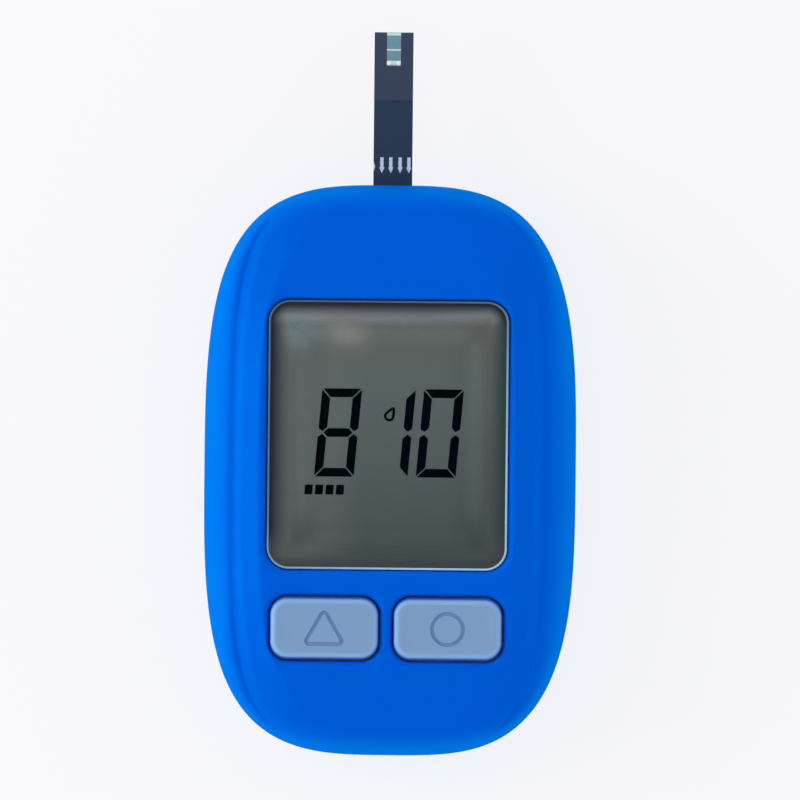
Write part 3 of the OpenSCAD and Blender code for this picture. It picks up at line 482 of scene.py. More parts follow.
def surface(name, colour, rough=0.5, metal=0.0, vary=0.04, patch=4.0, grain=0.12, depth=0.006,
            rough_vary=0.08, spec=0.5, tint=None):
    """Moulded or drawn surface: patchy tone, patchy gloss and a fine grain. Sizes are in millimetres."""
    m, nt, b = material(name)
    dark = tuple(c * (1 - vary) for c in colour)
    light = tuple(min(1, c * (1 + vary)) for c in colour)
    gloss = remap(nt, noise(nt, patch * 0.6, 3), 0.25, 0.75, rough - rough_vary, rough + rough_vary)
    dress(nt, b, mix_colour(nt, noise(nt, patch, 4), dark, light), gloss, spec)
    b.inputs["Metallic"].default_value = metal
    if tint:
        b.inputs["Specular Tint"].default_value = (*tint, 1)
    if depth:
        bump(nt, b, noise(nt, grain, 2), depth)
    return m


def ramp(nt, value, stops):
    """Colour ramp: stops are (position, colour)."""
    n = node(nt, "ValToRGB")
    e = n.color_ramp.elements
    e[0].position, e[1].position = stops[0][0], stops[-1][0]
    e[0].color, e[1].color = (*stops[0][1], 1), (*stops[-1][1], 1)
    for pos, col in stops[1:-1]:
        e.new(pos).color = (*col, 1)
    nt.links.new(value, n.inputs[0])
    return n.outputs[0]


def place(nt):
    """Object coordinates x and y in millimetres."""
    sep = node(nt, "SeparateXYZ")
    nt.links.new(object_coords(nt), sep.inputs[0])
    return sep.outputs[0], sep.outputs[1]


def rounded_distance(nt, w, l, r, x, y):
    """Distance from the outline of a rounded rectangle, in millimetres, negative inside."""
    px, py = place(nt)
    parts = []
    for v, centre, half in ((px, x, w / 2 - r), (py, y, l / 2 - r)):
        a = math_node(nt, "ABSOLUTE", math_node(nt, "SUBTRACT", v, centre))
        parts.append(math_node(nt, "SUBTRACT", a, half))
    outside = [math_node(nt, "MAXIMUM", p, 0.0) for p in parts]
    squares = [times(nt, p, p) for p in outside]
    length = math_node(nt, "SQRT", math_node(nt, "ADD", *squares))
    within = math_node(nt, "MINIMUM", math_node(nt, "MAXIMUM", *parts), 0.0)
    return math_node(nt, "SUBTRACT", math_node(nt, "ADD", length, within), r)


BLUE, BLUE_GLOSS, BLUE_EDGE_GLOSS = (0.0003, 0.107, 0.765), (0.0, 0.40, 0.98), (0.0, 0.48, 0.99)
KEY_BLUE = srgb(132, 163, 207)
POCKET_BLACK = (0.02, 0.022, 0.025)


def case_plastic(name, grain, depth):
    """Satin blue plastic whose gloss is blue as well and grows as the surface turns away from the eye."""
    m = surface(name, BLUE, rough=0.5, vary=0.03, patch=9, grain=grain, depth=depth, rough_vary=0.04, spec=0.0)
    nt = m.node_tree
    turn = node(nt, "LayerWeight", {"Blend": 0.5}).outputs["Facing"]
    gloss = node(nt, "BsdfGlossy")
    feed(nt, gloss.inputs["Color"], mix_colour(nt, remap(nt, turn, 0.25, 0.8, 0, 1), BLUE_GLOSS, BLUE_EDGE_GLOSS))
    feed(nt, gloss.inputs["Roughness"], remap(nt, noise(nt, 5, 3), 0.25, 0.75, 0.58, 0.66))
    satin = nt.nodes["Principled BSDF"]
    both = mix_shader(nt, remap(nt, turn, 0, 0.55, 0.05, 0.30), satin.outputs[0], gloss.outputs[0])
    show(nt, both)
    return m


def shade_pocket(m):
    """Matt black ledge and opening under the window, which shows through it from low angles."""
    nt = m.node_tree
    base = nt.nodes["Principled BSDF"].inputs["Base Color"]
    weight = next(n for n in nt.nodes if n.type == "MIX_SHADER").inputs[0]
    away = rounded_distance(nt, VIEW_W, VIEW_L, VIEW_R, 0, WINDOW_Y)
    black_to, blue_from = BORDER - 0.3, BORDER - 0.2
    black = remap(nt, away, black_to, blue_from, 1, 0)
    feed(nt, base, mix_colour(nt, black, base.links[0].from_socket, POCKET_BLACK))
    glossy = remap(nt, away, black_to, blue_from, 0, 1)
    feed(nt, weight, times(nt, weight.links[0].from_socket, glossy))
    return m


case_mat = shade_pocket(case_plastic("case_blue_plastic", 0.16, 0.003))
rear_mat = case_plastic("rear_blue_plastic", 0.22, 0.012)


def key_plastic():
    """Pale key plastic with painted light where the surface turns down at the key's edge: a painted highlight on the
    bevel and a painted reflection of the blue case on its steep sides.
    """
    m = surface("key_plastic", KEY_BLUE, rough=0.42, vary=0.03, patch=5, grain=0.14, depth=0.003, rough_vary=0.04,
                spec=0.6, tint=(0.35, 0.75, 1.0))
    nt = m.node_tree
    base = nt.nodes["Principled BSDF"].inputs["Base Color"]
    tone = base.links[0].from_socket
    sep = node(nt, "SeparateXYZ")
    nt.links.new(node(nt, "TexCoord").outputs["Normal"], sep.inputs[0])
    turned_down = remap(nt, sep.outputs[2], 0.997, 0.97, 0, 1)
    # Painted highlight on the bevel, and painted reflection of the blue case on the steep sides
    edge = ramp(nt, sep.outputs[2], [
        (0.1, srgb(50, 100, 190)), (0.6, srgb(118, 160, 222)), (0.88, srgb(141, 182, 233)), (0.97, srgb(143, 180, 227)),
    ])
    feed(nt, base, mix_colour(nt, turned_down, tone, edge))
    return m


key_mat = key_plastic()


def bell(nt, value, centre, width):
    """Smooth bump of height 1 at centre that falls to 0 at width from it."""
    off = math_node(nt, "ABSOLUTE", math_node(nt, "SUBTRACT", value, centre))
    return remap(nt, off, 0, width, 1, 0, smooth=True)


WINDOW_TOP = WINDOW_Y + WINDOW_L / 2


def window_depth(nt):
    """Distance inwards from the window's outline, in millimetres."""
    return times(nt, rounded_distance(nt, WINDOW_W, WINDOW_L, WINDOW_R, 0, WINDOW_Y), -1.0)


def display_tone(nt, gain=1.0):
    """Tone of the display, with painted reflections and painted light: lighter to the top and the left, with soft
    patches of painted light along the upper edge.
    """
    def tone_of(r, g, b):
        return tuple(v * gain for v in srgb(r, g, b))

    def lay(tone, patch, strength, colour):
        return mix_colour(nt, times(nt, patch, strength), tone, tone_of(*colour))

    x, y = place(nt)
    # Painted reflection: lighter towards the top
    down = remap(nt, y, WINDOW_TOP, WINDOW_TOP - WINDOW_L, 0, 1)
    tone = ramp(nt, down, [
        (0.0, tone_of(118, 120, 121)), (0.07, tone_of(109, 111, 111)), (0.13, tone_of(98, 101, 99)),
        (0.3, tone_of(91, 99, 98)), (0.75, tone_of(80, 87, 87)), (1.0, tone_of(75, 85, 85)),
    ])
    # Painted light: lighter towards the left
    left = remap(nt, x, -3, -14, 0, 0.55, smooth=True)
    tone = mix_colour(nt, left, tone, tone_of(113, 118, 116))
    # Painted reflection: a band along the upper edge, weaker to the right
    along = times(nt, remap(nt, x, -13, 20, 1.0, 0.3), 0.75)
    tone = lay(tone, bell(nt, y, 25.3, 1.9), along, (142, 153, 162))
    # Patches of painted light: a leaning one under it, and one in the left corner
    lean = math_node(nt, "ADD", y, times(nt, x, 0.2))
    patch = times(nt, bell(nt, x, -7.4, 6.0), bell(nt, lean, 21.6, 5.0))
    tone = lay(tone, patch, 0.85, (131, 130, 127))
    corner = times(nt, bell(nt, x, -15.2, 5.0), bell(nt, y, 22.8, 4.5))
    return lay(tone, corner, 0.9, (132, 145, 150))


def painted_edge_shade(nt, tone):
    """Painted shade: darkens a tone towards the window's edge, most at the left and the top, least at the bottom."""
    x, y = place(nt)
    high = remap(nt, y, WINDOW_TOP - 5, WINDOW_TOP - 2, 0, 1, smooth=True)
    low = remap(nt, y, -9, -14, 0, 1, smooth=True)
    dark = mix_colour(nt, remap(nt, x, -12, 12, 0, 1, smooth=True), srgb(31, 40, 54), srgb(48, 68, 70))
    dark = mix_colour(nt, low, dark, srgb(66, 69, 77))
    dark = mix_colour(nt, high, dark, srgb(37, 40, 53))
    reach = remap(nt, x, 4, 16, 3.1, 2.4, smooth=True)
    reach = math_node(nt, "SUBTRACT", reach, times(nt, high, 0.9))
    part = math_node(nt, "DIVIDE", math_node(nt, "SUBTRACT", window_depth(nt), 0.7), reach)
    return mix_colour(nt, remap(nt, part, 0, 1, 0, 1), dark, tone)


def display_material():
    """Grey display with painted light: lighter all over, and lighter still near the window's edge, to lift the shade
    under the window and the shadow of the window's opening.
    """
    m, nt, b = material("display_grey")
    # Painted light against the shadow of the window's opening, less towards the bottom
    low = remap(nt, place(nt)[1], -6, -9, 0, 1.1, smooth=True)
    painted_edge_light = remap(nt, math_node(nt, "ADD", window_depth(nt), low), 3.5, 8.2, 1, 0, smooth=True)
    tone = mix_colour(nt, painted_edge_light, display_tone(nt, 1.4), display_tone(nt, 2.35))
    speck = remap(nt, noise(nt, 0.6, 3), 0.35, 0.7, 0.0, 0.08)
    gloss = remap(nt, noise(nt, 2.5, 3), 0.3, 0.7, 0.32, 0.42)
    dress(nt, b, mix_colour(nt, speck, tone, srgb(66, 74, 72)), gloss, 0.05)
    return m


def lens_material(painted):
    """Clear window with little glare from straight above. Painted: the top, with the display's tone and painted shade
    towards the window's edge, which fade inwards.
    """
    m, nt, b = material("window_painted_shade" if painted else "window_clear")
    clear = node(nt, "BsdfTransparent", {"Color": (0.97, 0.98, 0.98, 1)})
    gloss = node(nt, "BsdfGlossy", {"Roughness": 0.04})
    facing = node(nt, "LayerWeight", {"Blend": 0.5})
    glare = remap(nt, math_node(nt, "POWER", facing.outputs["Facing"], 4.5), 0, 1, 0.0005, 0.9)
    glass = mix_shader(nt, glare, clear.outputs[0], gloss.outputs[0])
    if painted:
        # Painted display tone with painted shade towards the edge, fading inwards
        dress(nt, b, painted_edge_shade(nt, display_tone(nt)), 0.3, 0.05)
        cover = remap(nt, window_depth(nt), BORDER + 0.4, BORDER + 4.4, 1, 0, smooth=True)
        glass = mix_shader(nt, cover, glass, b.outputs[0])
    else:
        nt.nodes.remove(b)
    show(nt, glass)
    return m


def rim_material():
    """Polished rim of the window, with a painted highlight along the bottom and the right and painted shade at the top
    and the left.
    """
    m, nt, b = material("window_rim")
    x, y = place(nt)
    # Painted highlight towards the bottom right, painted shade towards the top left
    side = math_node(nt, "SUBTRACT", times(nt, x, 0.035), times(nt, y, 0.035))
    tone = ramp(nt, remap(nt, side, -1.0, 0.75, 0, 1), [
        (0.0, srgb(62, 88, 122)), (0.35, srgb(80, 104, 134)), (0.6, srgb(150, 188, 216)), (1.0, srgb(194, 234, 255)),
    ])
    dress(nt, b, mix_colour(nt, remap(nt, noise(nt, 2, 3), 0, 1, 0, 0.4), tone, srgb(110, 130, 150)), 0.25, 0.2)
    return m


def clear_film():
    """Clear film over the sample channel, a shade greener at its far end."""
    m, nt, b = material("clear_film")
    tone = ramp(nt, remap(nt, place(nt)[1], STRIP_TIP, STRIP_TIP - SAMPLE_L, 0, 1), [
        (0.0, srgb(121, 158, 175)), (0.7, srgb(117, 156, 172)), (0.85, srgb(116, 156, 162)), (1.0, srgb(134, 166, 164)),
    ])
    patchy = mix_colour(nt, remap(nt, noise(nt, 0.7, 3), 0.3, 0.7, 0, 0.2), tone, srgb(84, 112, 128))
    dress(nt, b, patchy, 0.25, 0.15)
    return m


display_mat = display_material()
lens_mats = [lens_material(True), lens_material(False), rim_material()]
segment_mat = surface("display_ink", srgb(3, 9, 18), rough=0.6, vary=0.15, patch=0.6, depth=0.0, spec=0.0)

film = dict(vary=0.06, patch=2, grain=0.2, depth=0.003, spec=0.1)
ink = dict(patch=0.5, depth=0.003, spec=0.2)
strip_low_mat = surface("strip_print_low", srgb(42, 60, 84), rough=0.5, **film)
strip_top_mat = surface("strip_print_top", srgb(60, 70, 93), rough=0.45, **film)
strip_ink_mat = surface("strip_white_ink", srgb(208, 216, 236), rough=0.6, vary=0.05, **ink)
strip_pale_mat = surface("strip_pale", srgb(214, 234, 232), rough=0.6, vary=0.05, **ink)
strip_bar_mat = surface("strip_bar", srgb(214, 232, 222), rough=0.5, vary=0.05, **ink)
strip_spot_mat = surface("strip_spot", srgb(248, 252, 250), rough=0.4, vary=0.02, **ink)

# Materials of the inner pieces, by node
inner = {
    "case_screws": surface("screw_steel", (0.42, 0.43, 0.45), rough=0.32, metal=1.0, vary=0.12, patch=0.8, grain=0.15,
                           depth=0.003, rough_vary=0.1),
    "lens_gasket": surface("gasket_foam", (0.015, 0.016, 0.018), rough=0.8, vary=0.3, patch=0.5, grain=0.1, depth=0.02),
    "lcd_front_glass": surface("glass_sheet", (0.42, 0.50, 0.48), rough=0.12, vary=0.03, patch=3, depth=0.0),
    "lcd_reflector": surface("reflector_film", (0.33, 0.36, 0.34), rough=0.4, vary=0.06, patch=1, depth=0.003),
    "lcd_frame": surface("frame_plastic", (0.62, 0.62, 0.60), vary=0.05),
    "zebra_strip": surface("zebra_rubber", (0.06, 0.06, 0.065), rough=0.7, vary=0.4, patch=0.25, depth=0.01),
    "main_board": surface("board_mask", (0.006, 0.11, 0.035), rough=0.35, vary=0.25, patch=1.2, grain=0.3, depth=0.012),
    "processor_chip": surface("chip_resin", (0.012, 0.012, 0.013), rough=0.55, vary=0.3, patch=0.7, grain=0.08,
                              depth=0.01),
    "clock_crystal": surface("crystal_can", (0.62, 0.62, 0.6), rough=0.28, metal=1.0, vary=0.1, patch=0.8, depth=0.003),
    "chip_parts": surface("small_ceramic", (0.33, 0.22, 0.12), vary=0.3, patch=0.5),
    "beeper": surface("beeper_case", (0.02, 0.02, 0.022), vary=0.2, patch=1, depth=0.008),
    "strip_connector": surface("port_plastic", (0.018, 0.018, 0.02), rough=0.45, vary=0.2, patch=1),
    "strip_contacts": surface("contact_gold", (0.80, 0.55, 0.18), rough=0.25, metal=1.0, vary=0.1, patch=0.5,
                              depth=0.002),
    "key_mat": surface("silicone_grey", (0.45, 0.47, 0.48), rough=0.65, vary=0.06, patch=2, grain=0.2, depth=0.01),
    "memory_pill": surface("carbon_rubber", (0.012, 0.012, 0.012), rough=0.8, vary=0.3, patch=0.4, depth=0.01),
    "battery_springs": surface("spring_steel", (0.60, 0.60, 0.58), rough=0.3, metal=1.0, vary=0.12, patch=0.6,
                               depth=0.003),
    "bridge_plate": surface("contact_nickel", (0.66, 0.64, 0.60), rough=0.3, metal=1.0, vary=0.1, patch=1.5,
                            depth=0.004),
    "strip_spacer": surface("strip_spacer_film", (0.72, 0.74, 0.73), rough=0.6, patch=1, depth=0.003),
    "strip_base": strip_low_mat,
    "strip_cover": strip_top_mat,
    "strip_window": clear_film(),
    "battery_door": rear_mat,
    "lcd_polarizer": display_mat,
}
same = {
    "lcd_rear_glass": "lcd_front_glass", "analog_chip": "processor_chip", "memory_chip": "processor_chip",
    "memory_dome": "key_mat", "set_dome": "key_mat", "set_pill": "memory_pill",
    "positive_contact": "bridge_plate", "negative_contact": "bridge_plate",
}


def cell_material():
    """Steel cell in a printed sleeve: a pale end by the button, a grey-green sleeve and bare steel caps."""
    m, nt, b = material("cell_sleeve")
    pale_from, cap_from, foot_to = 11.0, 23.05, -19.8
    x, y = place(nt)
    # The upper cell's button points to +X, the lower one's to -X
    upper = math_node(nt, "GREATER_THAN", y, (CELL_YS[0] + CELL_YS[1]) / 2)
    sign = math_node(nt, "SUBTRACT", times(nt, upper, 2.0), 1.0)
    along = times(nt, x, sign)
    pale = math_node(nt, "GREATER_THAN", along, pale_from)
    cap = math_node(nt, "GREATER_THAN", along, cap_from)
    bare = math_node(nt, "MAXIMUM", cap, math_node(nt, "LESS_THAN", along, foot_to))
    tone = mix_colour(nt, pale, (0.05, 0.11, 0.09), (0.60, 0.62, 0.62))
    tone = mix_colour(nt, bare, tone, (0.66, 0.65, 0.62))
    tone = mix_colour(nt, remap(nt, noise(nt, 1.5, 4), 0.3, 0.7, 0, 0.15), tone, (0.1, 0.1, 0.1))
    dress(nt, b, tone, remap(nt, noise(nt, 3, 3), 0.3, 0.7, 0.24, 0.36), 0.5)
    feed(nt, b.inputs["Metallic"], math_node(nt, "MAXIMUM", bare, times(nt, pale, 0.3)))
    bump(nt, b, noise(nt, 0.4, 2), 0.004)
    return m


inner["battery_upper"] = inner["battery_lower"] = cell_material()
for name, other in same.items():
    inner[name] = inner[other]


# ---- Front cover
def lip_cutter(w, l, r, x, y, bottom, lip_w, lip_h):
    """Cutter for an opening in the panel whose upper edge falls away in a rounded lip, lip_w wide and lip_h deep."""
    counts = dict(corner=14, side=14)
    rings = [rect_ring(w, l, r, bottom, x, y, **counts)]
    steps, last = 10, math.radians(74)

    def over(grow, rise):
        """Adds a ring that keeps to the panel's crown."""
        def height(px, py):
            return panel_height(px, py) + rise
        rings.append(rect_ring(w + 2 * grow, l + 2 * grow, r + grow, height, x, y, **counts))

    for k in range(steps + 1):
        a = last * k / steps
        over(lip_w * (1 - math.cos(a)), -lip_h * (1 - math.sin(a)))
    clear = 0.02
    below = lip_h * (1 - math.sin(last)) + clear
    reach = lip_w * (1 - math.cos(last)) + below * lip_w * math.tan(last) / lip_h
    over(reach, clear)
    over(reach, 1)
    return loft(rings)


def front_cover():
    cover = loft(cavity_rings(0) + [level(LAP_SKIRT, LAP_TOP), level(LAP_SKIRT, SPLIT)] + front_rings())
    # Key block and screw posts, cut to the inside of the cover
    overlap, margin = 0.7, 2.1
    inside = loft([level(WALL, BOSS_Z - 1), level(WALL, LAP_TOP)] + cavity_rings(overlap)[::-1])
    posts = rect_prism(KEY_PITCH + FLANGE_W + margin, FLANGE_L + margin, FLANGE_R + FLANGE_GAP, 0, -KEY_Y,
                       MAT_TOP + 0.1, CASE_H)
    for x, y in SCREWS:
        boss = [(BOSS_R, BOSS_Z), (BOSS_R, BOARD_TOP), (BOSS_SHOULDER_R, BOARD_TOP), (BOSS_SHOULDER_R, CASE_H)]
        fuse(posts, turned(boss, x, y))
    carve(posts, inside, "INTERSECT")
    fuse(cover, posts)
    # Window pocket and the opening in its ledge
    carve(cover, lip_cutter(WINDOW_W + 2 * WINDOW_GAP, WINDOW_L + 2 * WINDOW_GAP, WINDOW_R + WINDOW_GAP, 0, WINDOW_Y,
                            LEDGE_Z, 1.45, 0.75))
    carve(cover, rect_prism(VIEW_W, VIEW_L, VIEW_R, 0, WINDOW_Y, CEILING_Z - 1, LEDGE_Z + 0.5))
    # Key openings, and the room for the keys' flanges
    for side in (-1, 1):
        x = side * KEY_PITCH / 2
        carve(cover, lip_cutter(KEY_W + 2 * KEY_GAP, KEY_L + 2 * KEY_GAP, KEY_R + KEY_GAP, x, -KEY_Y, CEILING_Z - 0.5,
                                1.0, 0.85))
        carve(cover, rect_prism(FLANGE_W + 2 * FLANGE_GAP, FLANGE_L + 2 * FLANGE_GAP, FLANGE_R + FLANGE_GAP, x, -KEY_Y,
                                MAT_TOP - 1, CEILING_Z))
    for x, y in SCREWS:
        carve(cover, turned([(PILOT_R, BOSS_Z - 1), (PILOT_R, PILOT_TOP)], x, y, 32))
    # Strip port: a slot whose mouth flares upwards and to the sides
    end = CASE_L / 2
    carve(cover, block(-PORT_W / 2, PORT_W / 2, end - 2 * WALL - 0.5, end + 1, SPLIT - 1, PORT_TOP))
    flare = PORT_W / 2 + PORT_FLARE
    mouth = [(end - 2 * PORT_FLARE, SPLIT - 1), (end - 2 * PORT_FLARE, PORT_TOP),
             (end + 1, PORT_TOP + 2 * PORT_FLARE + 1), (end + 1, SPLIT - 1)]
    verts = [(s * flare, y, z) for s in (-1, 1) for y, z in mouth]
    faces = [(0, 1, 2, 3), (7, 6, 5, 4)] + [(i, i + 4, (i + 1) % 4 + 4, (i + 1) % 4) for i in range(4)]
    carve(cover, raw(verts, faces))
    finish_piece(cover, "front_shell", case_mat, "case", ["front_cover"], sharp=40)


# ---- Rear cover
def rear_cover():
    outside, inside = [], []
    floor_round = REAR_ROUND + REAR_DRAFT - WALL + 1
    for c, s in quarter(10):
        outside.append(level(REAR_DRAFT + REAR_ROUND * (1 - s), REAR_ROUND * (1 - c)))
        inside.append(level(WALL + REAR_DRAFT + floor_round * (1 - c), REAR_WALL + floor_round * (1 - s)))
    lap = LAP_SKIRT + LAP_GAP
    outside += [level(0, SPLIT - SEAM), level(SEAM, SPLIT), level(lap, SPLIT), level(lap, SPLIT + LAP_H)]
    shell = loft(outside + [level(WALL, SPLIT + LAP_H), level(WALL, SPLIT)] + inside)
    # Outsides of the battery bay, the latch box, the screw towers and the board posts
    bay_end = -BAY_Y - BAY_W / 2
    fuse(shell, centred_block(0, -BAY_Y, BAY_LEN + 2 * BAY_WALL, BAY_W + 2 * BAY_WALL, BAY_BASE, BAY_TOP + BAY_ROOF))
    fuse(shell, block(-LATCH_BOX_W / 2 - BAY_WALL, LATCH_BOX_W / 2 + BAY_WALL, TAB_Y - BAY_WALL, bay_end + 0.1,
                      BAY_BASE, LATCH_BOX_TOP + BAY_WALL))
    for x, y in SCREWS:
        fuse(shell, turned([(TOWER_R, BAY_BASE), (TOWER_R, TOWER_TOP)], x, y))
    for x, y in POSTS:
        post = [(POST_R, BAY_BASE), (POST_R, POST_TOP), (PIN_R, POST_TOP), (PIN_R, PIN_TOP)]
        fuse(shell, turned(post, x, y, 32))
    # Their insides, the slots for the door's hooks and those for the contacts
    carve(shell, centred_block(0, -BAY_Y, BAY_LEN, BAY_W, -1, BAY_TOP))
    carve(shell, block(-LATCH_BOX_W / 2, LATCH_BOX_W / 2, TAB_Y, bay_end + 0.02, -1, LATCH_BOX_TOP))
    hook_y = -BAY_Y + BAY_W / 2 + BAY_WALL / 2
    for side in (-1, 1):
        carve(shell, centred_block(side * HOOK_X, hook_y, HOOK_W, BAY_WALL + 0.02, LEDGE_BOTTOM, HOOK_TOP))
    plate_x, plate_z = BAY_LEN / 2 + 0.2, LEDGE_BOTTOM + 0.6
    for y in CELL_YS:
        carve(shell, centred_block(plate_x, y, PLATE_SLOT, CONTACT_W, plate_z, BAY_TOP))
        carve(shell, centred_block(plate_x, y, PLATE_SLOT, CONTACT_TAIL_W, plate_z, BAY_TOP + BAY_ROOF + 0.1))
    carve(shell, centred_block(-plate_x, -BAY_Y, PLATE_SLOT, BRIDGE_W, plate_z, BAY_TOP))
    # Door opening: a rounded plate, chamfered at the rear face, with a tab
    chamfer = 0.18
    carve(shell, rect_prism(OPENING_W, OPENING_L, OPENING_R, 0, -BAY_Y, -1, LEDGE_BOTTOM))
    carve(shell, loft([
        rect_ring(OPENING_W + 2 * chamfer + 2, OPENING_L + 2 * chamfer + 2, OPENING_R + chamfer + 1, -1, 0, -BAY_Y),
        rect_ring(OPENING_W, OPENING_L, OPENING_R, chamfer, 0, -BAY_Y),
    ]))
    half = TAB_W / 2 + TAB_GAP
    carve(shell, block(-half, half, TAB_Y, -BAY_Y, -1, LEDGE_BOTTOM))
    for x, y in SCREWS:
        r = HEAD_HOLE_R
        carve(shell, turned([(r + 1.2, -1), (r + chamfer, 0), (r, chamfer), (r, HEAD_TOP)], x, y))
        carve(shell, turned([(SHANK_HOLE_R, 0), (SHANK_HOLE_R, TOWER_TOP + 1)], x, y, 32))
    # Finger scoop: part of a ball
    scoop_r, scoop_depth, steps = 9.0, 1.1, 24
    ball = []
    for k in range(steps + 1):
        a = math.radians(180) * k / steps - math.radians(90)
        ball.append((max(scoop_r * math.cos(a), 0.01), scoop_depth - scoop_r + scoop_r * math.sin(a)))
    carve(shell, turned(ball, 0, TAB_Y - 0.5, 96))
    flare = PORT_W / 2 + PORT_FLARE
    carve(shell, block(-flare, flare, CASE_L / 2 - 1.5 * WALL, CASE_L / 2 + WALL / 2, SPLIT, SPLIT + LAP_H + 1))
    # Ribs that hold the cells from above
    a, r = round_angles(64), CELL_R + 0.1
    for side in (-1, 1):
        rib = centred_block(side * CELL_LEN / 4, -BAY_Y, BAY_WALL, BAY_W, CELL_Z, BAY_TOP + 0.01)
        for y in CELL_YS:
            carve(rib, loft([
                np.column_stack([np.full(len(a), x), y + r * np.cos(a), CELL_Z + r * np.sin(a)]) for x in (-40, 40)
            ]))
        fuse(shell, rib)
    finish_piece(shell, "rear_shell", rear_mat, "case", ["rear_cover"], sharp=40)


# ---- Window
def window():
    bevel, top = 0.34, WINDOW_Z + WINDOW_T
    counts = dict(corner=16, side=2)
    rings = [rect_ring(WINDOW_W, WINDOW_L, WINDOW_R, WINDOW_Z, 0, WINDOW_Y, **counts)]
    for c, s in quarter(5):
        inset = bevel * (1 - c)
        w, l, r = WINDOW_W - 2 * inset, WINDOW_L - 2 * inset, WINDOW_R - inset
        rings.append(rect_ring(w, l, r, top - bevel * (1 - s), 0, WINDOW_Y, **counts))
    lens = loft(rings)
    for m in lens_mats:
        lens.data.materials.append(m)
    top_face, other_face, rim_face = range(3)
    for p in lens.data.polygons:
        p.material_index = rim_face if abs(p.normal.z) < 0.99 else other_face if p.normal.z < 0 else top_face
    finish_piece(lens, "window_lens_clear", lens_mats, "case", ["window_lens"])


# ---- Keys
def key(side, name, node_name):
    x, y = side * KEY_PITCH / 2, -KEY_Y
    counts = dict(corner=14, side=4)
    top, draft_w, draft_l, shoulder, bevel = PANEL_Z + KEY_PROUD, 0.1, 0.3, 0.75, 1.1
    w, l, r = KEY_W - 2 * draft_w, KEY_L - 2 * draft_l, KEY_R - draft_w
    rings = [rect_ring(KEY_W, KEY_L, KEY_R, z, x, y, **counts) for z in (FLANGE_TOP - 0.02, PANEL_Z - 0.7)]
    for c, s in quarter(10):
        inset = bevel * (1 - c)
        rings.append(rect_ring(w - 2 * inset, l - 2 * inset, r - inset, top - shoulder * (1 - s), x, y, **counts))
    # Slightly dished top
    dish, steps = 0.12, 9
    for k in range(1, steps):
        t = k / steps
        inset = mix(bevel, l / 2 - 0.3, t)
        z = top - dish * (1 - (1 - t) ** 2)
        rings.append(rect_ring(w - 2 * inset, l - 2 * inset, max(r - bevel - t * 2, 0.2), z, x, y, **counts))
    cap = loft(rings)
    carve(cap, key_symbol(side, x, top - dish - 0.3, top + 1))
    fuse(cap, rect_prism(FLANGE_W, FLANGE_L, FLANGE_R, x, y, FLANGE_TOP - FLANGE_T, FLANGE_TOP, **counts))
    fuse(cap, turned([(PLUNGER_R, PILL_TOP), (PLUNGER_R, FLANGE_TOP - 0.5)], x, y))
    finish_piece(cap, name, key_mat, node_name, [node_name], sharp=38)


def dome(side, name):
    """Silicone dome under a key: a hollow skirt from its foot up to its top."""
    x = side * KEY_PITCH / 2
    wall, lip = 0.5, 0.5
    top, foot_r, top_r = FLANGE_TOP - FLANGE_T - 0.05, KEY_L / 2 - wall, PLUNGER_R + 0.5
    skirt = turned([(foot_r, MAT_TOP), (top_r + wall, top - lip), (top_r + wall, top)], x, -KEY_Y)
    slope = (foot_r - wall - top_r) / (top - lip - MAT_TOP)
    hollow = [(foot_r - wall + slope, MAT_TOP - 1), (top_r, top - lip), (top_r, top + 1)]
    carve(skirt, turned(hollow, x, -KEY_Y))
    obj = finish_piece(skirt, name + "_soft", inner[name], "case", [name])
    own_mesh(obj)


def unit(v):
    return v / np.linalg.norm(v)


def band_prism(path, width, z0, z1):
    """Prism of even width along a closed flat path."""
    p = np.array(path)
    n = len(p)
    outer, inner_side = [], []
    for i in range(n):
        a, b, c = p[i - 1], p[i], p[(i + 1) % n]
        u, v = unit(b - a), unit(c - b)
        nu, nv = np.array([u[1], -u[0]]), np.array([v[1], -v[0]])
        m = (nu + nv) / (1 + nu @ nv)
        outer.append(b + m * width / 2)
        inner_side.append(b - m * width / 2)
    corners = ((outer, z0), (outer, z1), (inner_side, z1), (inner_side, z0))
    rings = [np.column_stack([xy, np.full(n, z)]) for xy, z in corners]
    return raw(np.vstack(rings), skin(rings, n, True))


def key_symbol(side, x, z0, z1):
    """Engraved sign: a triangle on the left key and a ring on the right one."""
    y, line_w = -KEY_Y, 0.6
    if side < 0:
        r, corner_r, lower = 3.3, 0.5, 0.7
        path = []
        for k in range(3):
            a = math.radians(90 + 120 * k)
            centre = np.array([x + (r - corner_r) * math.cos(a), y - lower + (r - corner_r) * math.sin(a)])
            for i in range(9):
                b = a + math.radians(mix(-60, 60, i / 8))
                path.append(centre + corner_r * np.array([math.cos(b), math.sin(b)]))
    else:
        ring_r = 2.55
        path = [(x + ring_r * math.cos(a), y + ring_r * math.sin(a)) for a in round_angles(56)]
    return band_prism(path, line_w, z0, z1)


# ---- Figures on the display
def flat_prism(outline, z0, z1):
    p = np.array(outline)
    return loft([np.column_stack([p, np.full(len(p), z)]) for z in (z0, z1)])


def join(objs):
    """One mesh from several solids that don't touch."""
    bm = bmesh.new()
    for o in objs:
        bm.from_mesh(o.data)
    mesh = bpy.data.meshes.new("joined")
    bm.to_mesh(mesh)
    bm.free()
    for o in objs:
        drop(o)
    return add_object(mesh)


DIGIT_W, DIGIT_H, STROKE, GAP, SLANT = 6.55, 14.5, 1.42, 0.17, 0.088
DIGIT_Y = -1.1
# Left edge of each figure, and its lit segments
DIGITS = ((-12.2, "abcdefg"), (-3.35, "bc"), (4.55, "abcdef"))


